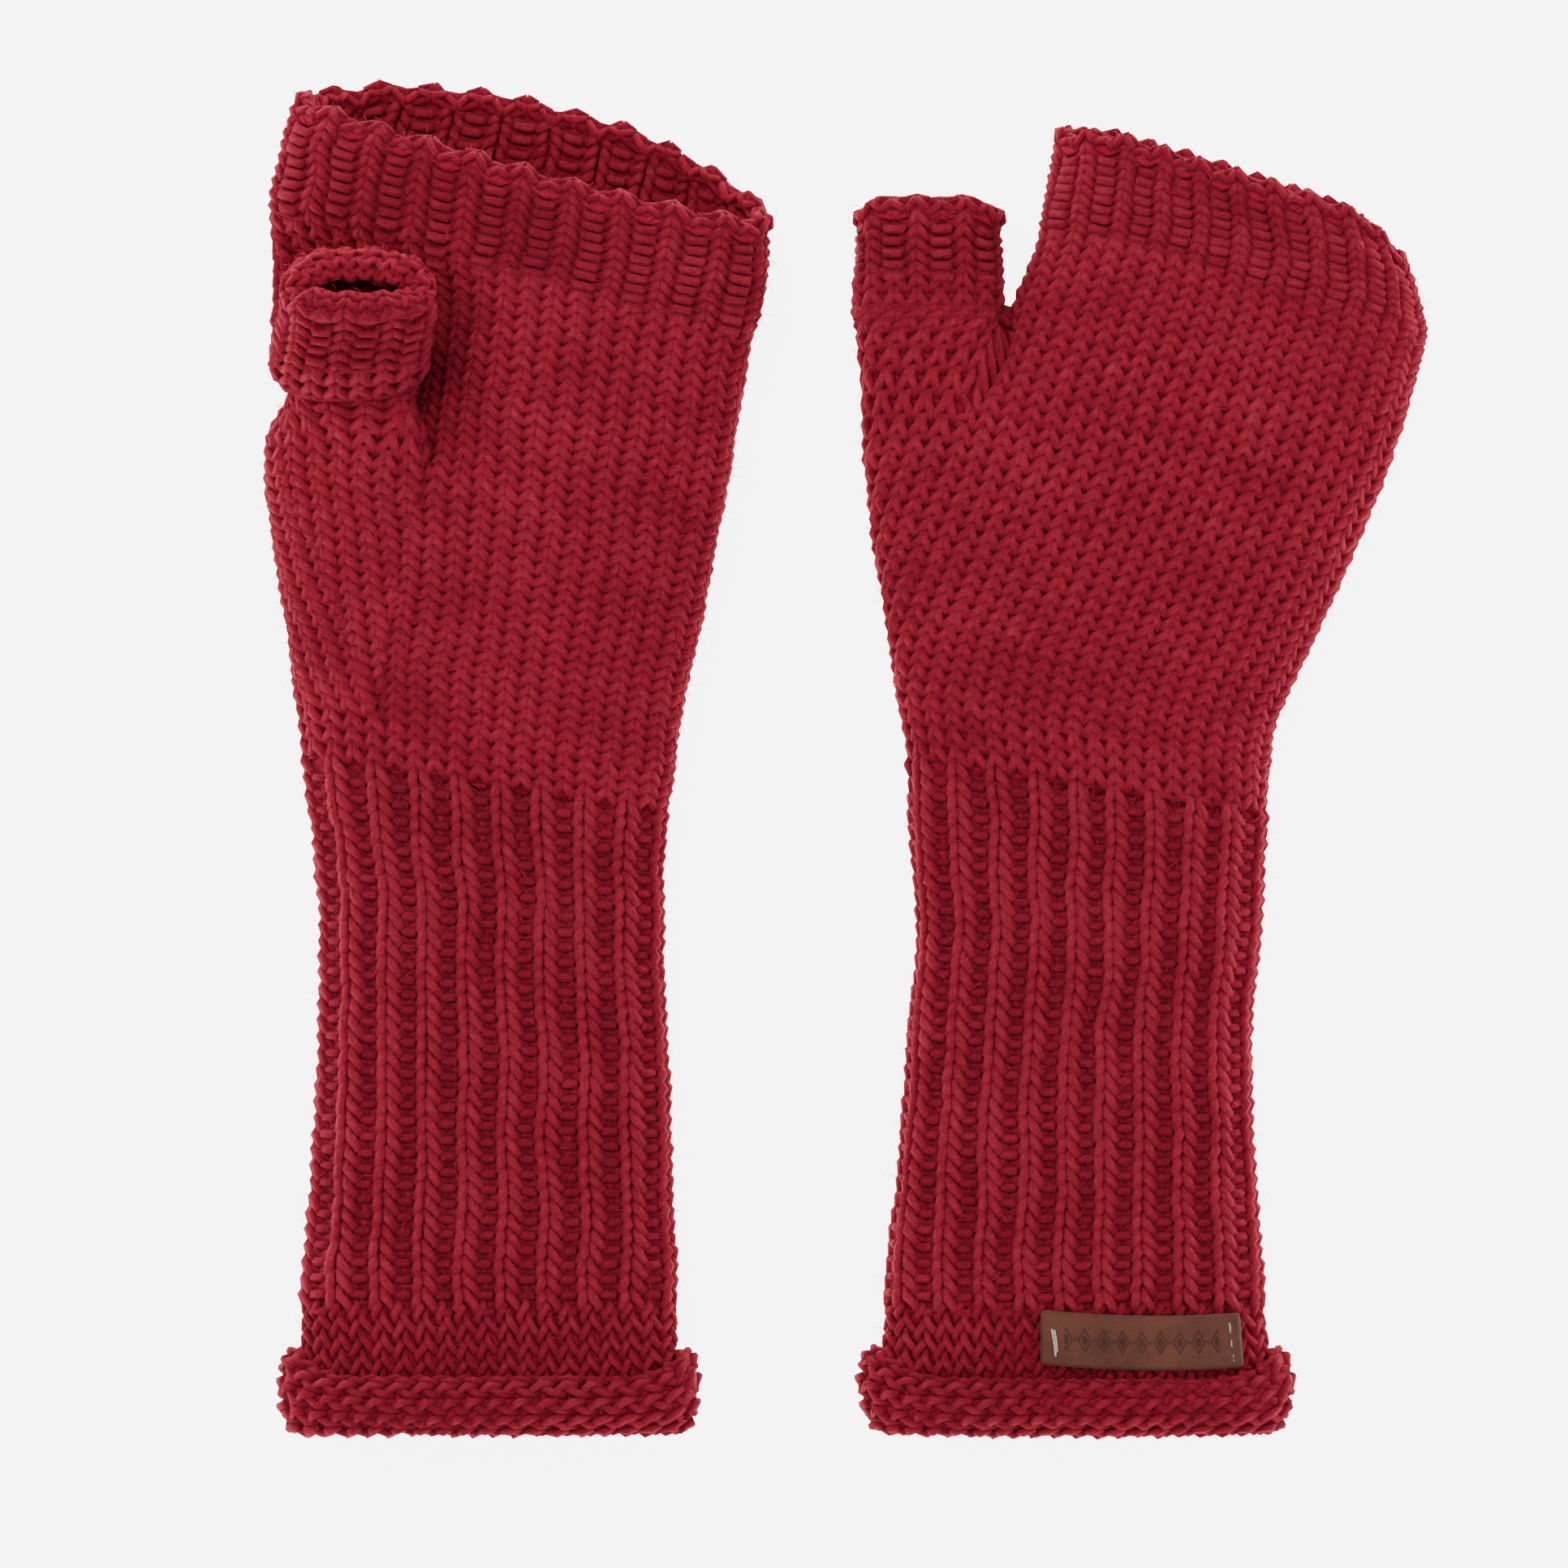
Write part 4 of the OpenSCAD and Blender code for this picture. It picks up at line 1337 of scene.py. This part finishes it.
def yarn_tube(path, radius, sides=8, twist=0.0, plies=2):
    """A closed tube along points, with a plied section that turns as it goes."""
    path = np.array(path, dtype=float)
    t = np.linspace(0, len(path) - 1, (len(path) - 1) * THREAD_SAMPLES + 1)
    i = np.clip(t.astype(int), 0, len(path) - 2)
    f = (t - i)[:, None]
    before, after = path[np.maximum(i - 1, 0)], path[np.minimum(i + 2, len(path) - 1)]
    a, b = path[i], path[i + 1]
    line = 0.5 * (2 * a + (b - before) * f + (2 * before - 5 * a + 4 * b - after) * f ** 2
                  + (3 * a - before - 3 * b + after) * f ** 3)
    way = np.gradient(line, axis=0)
    way /= np.linalg.norm(way, axis=1, keepdims=True)
    side = np.cross(way, NEVER_ALONG)
    side /= np.linalg.norm(side, axis=1, keepdims=True)
    other = np.cross(way, side)
    angle = np.linspace(0, 2 * math.pi, sides, endpoint=False)[None, :]
    run = np.concatenate([[0], np.cumsum(np.linalg.norm(np.diff(line, axis=0), axis=1))])[:, None]
    r = radius * (1 + PLY_DEPTH * np.cos(plies * angle + twist * run))
    verts = (line[:, None] + side[:, None] * (r * np.cos(angle))[..., None]
             + other[:, None] * (r * np.sin(angle))[..., None])
    rows = len(line)
    index = np.arange(rows * sides).reshape(rows, sides)
    turned = np.roll(index, -1, axis=1)
    quads = np.stack([index[:-1], turned[:-1], turned[1:], index[1:]], axis=-1).reshape(-1, 4)
    corners = np.concatenate([quads.ravel(), index[0][::-1], index[-1]])
    starts = np.concatenate([4 * np.arange(len(quads)), [quads.size, quads.size + sides]])
    return verts.reshape(-1, 3), corners, starts


LABEL_LENGTH = 45.8
LABEL_HEIGHT = 12.4
LABEL_SLANT = 0.9
LABEL_SAG = 0.9
LABEL_THICKNESS = 1.3
LABEL_TIP = 4.0
LABEL_CELL = 0.22
LABEL_CORNER = 1.2
LABEL_CLEAR = 0.35
LABEL_TAPER = 0.5

# The pressed pattern: lozenges this far apart, their half width and half height, and the bare ends
STAMP_DEPTH = 0.28
LOZENGE_PITCH = 4.3
LOZENGE_WIDTH = 1.7
LOZENGE_HEIGHT = 2.9
BARE_END = 5.4


def label_ground(glove, x, height):
    """How high the knitting lies under the label."""
    angle = np.radians(np.linspace(2, 178, 200))
    p = body_point(glove, height, angle, LABEL_CLEAR) + glove.place
    return np.interp(x, p[::-1, 0], p[::-1, 2])


def label_point(u, v):
    """A place on the label's upper side, with u and v in millimetres from its middle."""
    glove = GLOVES["right"]
    low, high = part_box("leather_label")
    cx, cy = (low[0] + high[0]) / 2 / MM, (low[1] + high[1]) / 2 / MM
    far = u / (LABEL_LENGTH / 2)
    x = cx + u + LABEL_TAPER * far.clip(0, 1) * (-v / (LABEL_HEIGHT / 2))
    y = cy + v - LABEL_SLANT * far / 2 - LABEL_SAG * (0.6 - far ** 2)
    ground = label_ground(glove, x, cy - glove.place[1])
    top = ground.max()
    bent = top + 0.8 * (ground - top)
    wavy = 0.12 * np.sin(u / 5.1 + v / 4.3)
    z = bent + (v - 1.0) * math.tan(math.radians(LABEL_TIP)) + wavy + LABEL_THICKNESS
    return np.stack([x, y, z], axis=-1)


def label_points_apart(u, v):
    """Places on the label, each found on its own, so each lies on the height of the knitting under it."""
    return np.array([label_point(np.array([a]), np.array([b]))[0] for a, b in zip(u, v)])


def stamped(u, v):
    """Pressed lozenges with a line round each and dots between them: 0 where flat, 1 where deepest."""
    cell = (u + LOZENGE_PITCH / 2) % LOZENGE_PITCH - LOZENGE_PITCH / 2
    lozenge = 1 - np.abs(cell) / LOZENGE_WIDTH - np.abs(v) / LOZENGE_HEIGHT
    outlined = np.exp(-((lozenge - 0.16) / 0.13) ** 2) + np.where(lozenge > 0.55, 1, 0)
    dot = np.exp(-(((np.abs(cell) - LOZENGE_PITCH / 2) / 0.34) ** 2 + (v / 0.4) ** 2))
    return np.clip((outlined + dot) * (np.abs(u) < LABEL_LENGTH / 2 - BARE_END), 0, 1)


def make_label():
    columns, rows = int(LABEL_LENGTH / LABEL_CELL), int(LABEL_HEIGHT / LABEL_CELL)
    u, v = np.meshgrid(np.linspace(-0.5, 0.5, columns) * LABEL_LENGTH,
                       np.linspace(-0.5, 0.5, rows) * LABEL_HEIGHT)
    from_end = LABEL_LENGTH / 2 - np.abs(u)
    from_side = LABEL_HEIGHT / 2 - np.abs(v)
    edge = np.minimum(from_end, from_side)
    stamp = stamped(u, v)
    # Corners are rounded by drawing the last cells in
    corner = np.clip(LABEL_CORNER - from_end, 0, None) ** 2 + np.clip(LABEL_CORNER - from_side, 0, None) ** 2
    pull = np.clip(np.sqrt(corner) - LABEL_CORNER, 0, None)
    u2 = u - np.sign(u) * pull * 0.7
    v2 = v - np.sign(v) * pull * 0.7
    top = label_point(u2, v2)
    under = top.copy()
    under[..., 2] -= LABEL_THICKNESS
    top[..., 2] -= 0.35 * (1 - smooth(0, 0.6, edge)) + STAMP_DEPTH * stamp
    under[..., 2] += 0.2 * (1 - smooth(0, 0.4, edge))
    # Rows climb the label and columns run to the right, so the grid is turned to face upwards
    verts, faces = closed_skin(top[:, ::-1], under[:, ::-1], False)
    worn = np.clip(1 - edge / 0.9, 0, 1)
    mesh = write_mesh("leather_label_hide", verts * MM, faces.ravel(), np.arange(0, faces.size, 4), {
        "stamp": np.concatenate([stamp[:, ::-1].ravel(), np.zeros(stamp.size)]),
        "edge": np.concatenate([worn[:, ::-1].ravel(), np.ones(stamp.size)])})
    piece = new_piece(mesh, "label_leather")
    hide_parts("leather_label")
    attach(piece, "right_forearm")


# Each strand is a path over the label: along it, up it, and height above its face
LEFT_TACK = (
    [(-20.5, 2.1, -1.8), (-20.4, 1.9, 0.15), (-20.1, 0.4, 0.4), (-19.8, -1.4, 0.4), (-19.6, -3.3, 0.35),
     (-19.5, -3.9, 0.1), (-19.5, -4.1, -1.8)],
    [(-19.8, 1.9, -1.8), (-19.8, 1.7, 0.15), (-19.5, 0.2, 0.45), (-19.3, -1.6, 0.35), (-19.2, -2.8, 0.1),
     (-19.2, -3.0, -1.5)])
RIGHT_TACK = (
    [(20.2, 4.6, -1.8), (20.2, 4.4, 0.2), (20.3, 3.4, 0.42), (20.3, 2.4, 0.42), (20.3, 1.4, 0.2),
     (20.3, 1.2, -0.9)],
    [(20.3, 0.9, -0.9), (20.3, 0.7, 0.2), (20.4, -0.2, 0.42), (20.4, -1.0, 0.42), (20.5, -1.8, 0.2),
     (20.5, -2.0, -0.9)],
    [(20.5, -2.3, -0.9), (20.5, -2.5, 0.2), (20.6, -3.3, 0.42), (20.6, -4.1, 0.42), (20.6, -4.8, 0.2),
     (20.6, -5.0, -1.8)])


def make_tack(name, strands):
    """One end's stitches, as one piece."""
    tubes = []
    for strand in strands:
        u, v, lift = np.array(strand).T
        path = label_points_apart(u, v)
        path[:, 2] += lift
        tubes.append(yarn_tube(path, THREAD_RADIUS, twist=THREAD_TWIST))
    verts, corners, starts = merged(tubes)
    piece = new_piece(write_mesh(f"{name}_strands", verts * MM, corners, starts, {}), "label_thread")
    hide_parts(name)
    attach(piece, "right_forearm")


# ---------------------------------------------------------------- stage

CAMERA_HEIGHT = 1.6
CAMERA_MIDDLE = (-0.0138, -0.00715)
VIEW_WIDTH = 0.3578
FABRIC_HEIGHT = 0.015
SENSOR = 36.0
FLOOR_HALF = 3.0
FLOOR_ROUGHNESS = 0.8
LIGHT_SIZE = 0.8
WHITE = (1.0, 1.0, 1.0, 1.0)
# Name, place, and share of the main light's power
LIGHTS = (("key_light", (-0.5, 0.6, 0.9), 1.0), ("fill_light", (0.7, -0.3, 1.0), 0.55))


def make_camera():
    """A camera straight above, framed at the height of the fabric's upper side."""
    data = bpy.data.cameras.new("camera")
    data.sensor_width = SENSOR
    data.lens = SENSOR * (CAMERA_HEIGHT - FABRIC_HEIGHT) / VIEW_WIDTH
    camera = new_object("camera", data)
    camera.location = (*CAMERA_MIDDLE, CAMERA_HEIGHT)
    bpy.context.scene.camera = camera


def make_floor(colour, glow):
    """A pale table top, which glows a little so that it stays pale."""
    mesh = bpy.data.meshes.new("floor")
    corners = [(x * FLOOR_HALF, y * FLOOR_HALF, 0) for x, y in ((-1, -1), (1, -1), (1, 1), (-1, 1))]
    mesh.from_pydata(corners, [], [(0, 1, 2, 3)])
    material, _, surface = new_material("floor")
    surface.inputs["Base Color"].default_value = colour
    surface.inputs["Roughness"].default_value = FLOOR_ROUGHNESS
    surface.inputs["Emission Color"].default_value = WHITE
    surface.inputs["Emission Strength"].default_value = glow
    mesh.materials.append(material)
    new_object("floor", mesh)


def make_lights(power, surround):
    """White light from all round, and two soft square lights that point at the gloves."""
    world = bpy.data.worlds.new("studio")
    world.use_nodes = True
    background = world.node_tree.nodes["Background"]
    background.inputs["Color"].default_value = WHITE
    background.inputs["Strength"].default_value = surround
    bpy.context.scene.world = world
    for name, place, share in LIGHTS:
        data = bpy.data.lights.new(name, "AREA")
        data.energy = power * share
        data.size = LIGHT_SIZE
        light = new_object(name, data)
        light.location = place
        light.rotation_euler = (-Vector(place)).to_track_quat("-Z", "Y").to_euler()


# ---------------------------------------------------------------- settings, operators and panel

def colour_property(name, description, rgb):
    return FloatVectorProperty(name=name, description=description, default=linear(rgb), subtype="COLOR",
                               size=4, min=0.0, max=1.0)


class GlovesSettings(PropertyGroup):
    yarn_scale: FloatProperty(
        name="Yarn Thickness", description="How thick the yarn is against its usual thickness", default=1.0,
        min=0.7, max=1.2, subtype="FACTOR")
    unevenness: FloatProperty(
        name="Unevenness", description="How much the stitches wander from a perfect grid", default=1.0,
        min=0.0, max=2.0, subtype="FACTOR")
    fuzz: FloatProperty(
        name="Fuzz", description="Loose fibres for each square metre of yarn", default=70000.0, min=0.0)
    fuzz_length: FloatProperty(
        name="Fuzz Length", description="Length of the loose fibres", default=0.0026, min=0.0005,
        unit="LENGTH")
    yarn_colour: colour_property("Yarn", "Colour of the yarn", (163, 30, 53))
    # Painted shade: the yarn's colour where it lies low between the stitches
    yarn_painted_shade: colour_property("Yarn Deep Down", "Colour of the yarn between the stitches", (124, 14, 40))
    # Painted highlight: the yarn's colour on the stitches' crowns
    yarn_painted_highlight: colour_property("Yarn Crowns", "Colour of the fibres on top of the stitches", (196, 60, 80))
    floor_colour: colour_property("Floor", "Colour of the floor", (243, 243, 243))
    floor_glow: FloatProperty(
        name="Floor Glow", description="Light from the white table under the gloves", default=6.0, min=0.0)
    light_power: FloatProperty(
        name="Light", description="Power of the main soft light", default=9.0, min=0.0, unit="POWER")
    surround: FloatProperty(
        name="Surround", description="Strength of the light from all round", default=0.8, min=0.0)


class GLOVES_OT_rolled_hems(Operator):
    """Knit the outward roll at the arm end of both gloves"""
    bl_idname = "gloves.rolled_hems"
    bl_label = "Rolled Hems"

    def execute(self, context):
        for side in GLOVES:
            make_hem(side)
        return {"FINISHED"}


class GLOVES_OT_forearm_ribs(Operator):
    """Knit the ribbed sleeves"""
    bl_idname = "gloves.forearm_ribs"
    bl_label = "Forearm Ribs"

    def execute(self, context):
        for side in GLOVES:
            make_forearm(side)
        return {"FINISHED"}


class GLOVES_OT_wrist_rows(Operator):
    """Knit the plain rows at the wrist"""
    bl_idname = "gloves.wrist_rows"
    bl_label = "Wrist Rows"

    def execute(self, context):
        for side in GLOVES:
            make_wrist(side)
        return {"FINISHED"}


class GLOVES_OT_hands(Operator):
    """Knit the palm sections and the thumb gussets"""
    bl_idname = "gloves.hands"
    bl_label = "Palms and Gussets"

    def execute(self, context):
        for side in GLOVES:
            make_hand(side)
        return {"FINISHED"}


class GLOVES_OT_finger_tubes(Operator):
    """Knit the finger sections with their bands and cast-off edges"""
    bl_idname = "gloves.finger_tubes"
    bl_label = "Finger Tubes"

    def execute(self, context):
        for side in GLOVES:
            make_fingers(side)
        return {"FINISHED"}


class GLOVES_OT_thumbs(Operator):
    """Knit the thumb sleeves with their bands and cast-off edges"""
    bl_idname = "gloves.thumbs"
    bl_label = "Thumbs"

    def execute(self, context):
        for side in GLOVES:
            make_thumb(side)
        return {"FINISHED"}


class GLOVES_OT_fuzz(Operator):
    """Raise loose fibres from the yarn"""
    bl_idname = "gloves.fuzz"
    bl_label = "Fuzz"

    def execute(self, context):
        settings = context.scene.knitted_gloves
        for side in GLOVES:
            for part, sections in FUZZY.items():
                make_fuzz(side, part, sections, settings.fuzz, settings.fuzz_length)
        return {"FINISHED"}


class GLOVES_OT_label(Operator):
    """Cut the leather label and tack it to the right glove"""
    bl_idname = "gloves.label"
    bl_label = "Leather Label"

    def execute(self, context):
        make_label()
        make_tack("label_thread_left", LEFT_TACK)
        make_tack("label_thread_right", RIGHT_TACK)
        return {"FINISHED"}


class GLOVES_OT_stage(Operator):
    """Set up the floor, the soft lights and the camera"""
    bl_idname = "gloves.stage"
    bl_label = "Stage"

    def execute(self, context):
        settings = context.scene.knitted_gloves
        make_camera()
        make_floor(settings.floor_colour, settings.floor_glow)
        make_lights(settings.light_power, settings.surround)
        return {"FINISHED"}


OPERATORS = (GLOVES_OT_stage, GLOVES_OT_rolled_hems, GLOVES_OT_forearm_ribs, GLOVES_OT_wrist_rows,
             GLOVES_OT_hands, GLOVES_OT_finger_tubes, GLOVES_OT_thumbs, GLOVES_OT_fuzz, GLOVES_OT_label)


class GLOVES_PT_panel(Panel):
    """The gloves' settings and the steps that make them"""
    bl_idname = "GLOVES_PT_panel"
    bl_label = "Knitted Gloves"
    bl_space_type = "VIEW_3D"
    bl_region_type = "UI"
    bl_category = "Gloves"

    def draw(self, context):
        settings = context.scene.knitted_gloves
        for name in GlovesSettings.__annotations__:
            self.layout.prop(settings, name)
        for operator in OPERATORS:
            self.layout.operator(operator.bl_idname)


CLASSES = (GlovesSettings, *OPERATORS, GLOVES_PT_panel)


def register():
    for cls in CLASSES:
        bpy.utils.register_class(cls)
    bpy.types.Scene.knitted_gloves = PointerProperty(type=GlovesSettings)


def unregister():
    del bpy.types.Scene.knitted_gloves
    for cls in reversed(CLASSES):
        bpy.utils.unregister_class(cls)


def main():
    register()
    for operator in OPERATORS:
        group, name = operator.bl_idname.split(".")
        getattr(getattr(bpy.ops, group), name)()


if __name__ == "__main__":
    main()
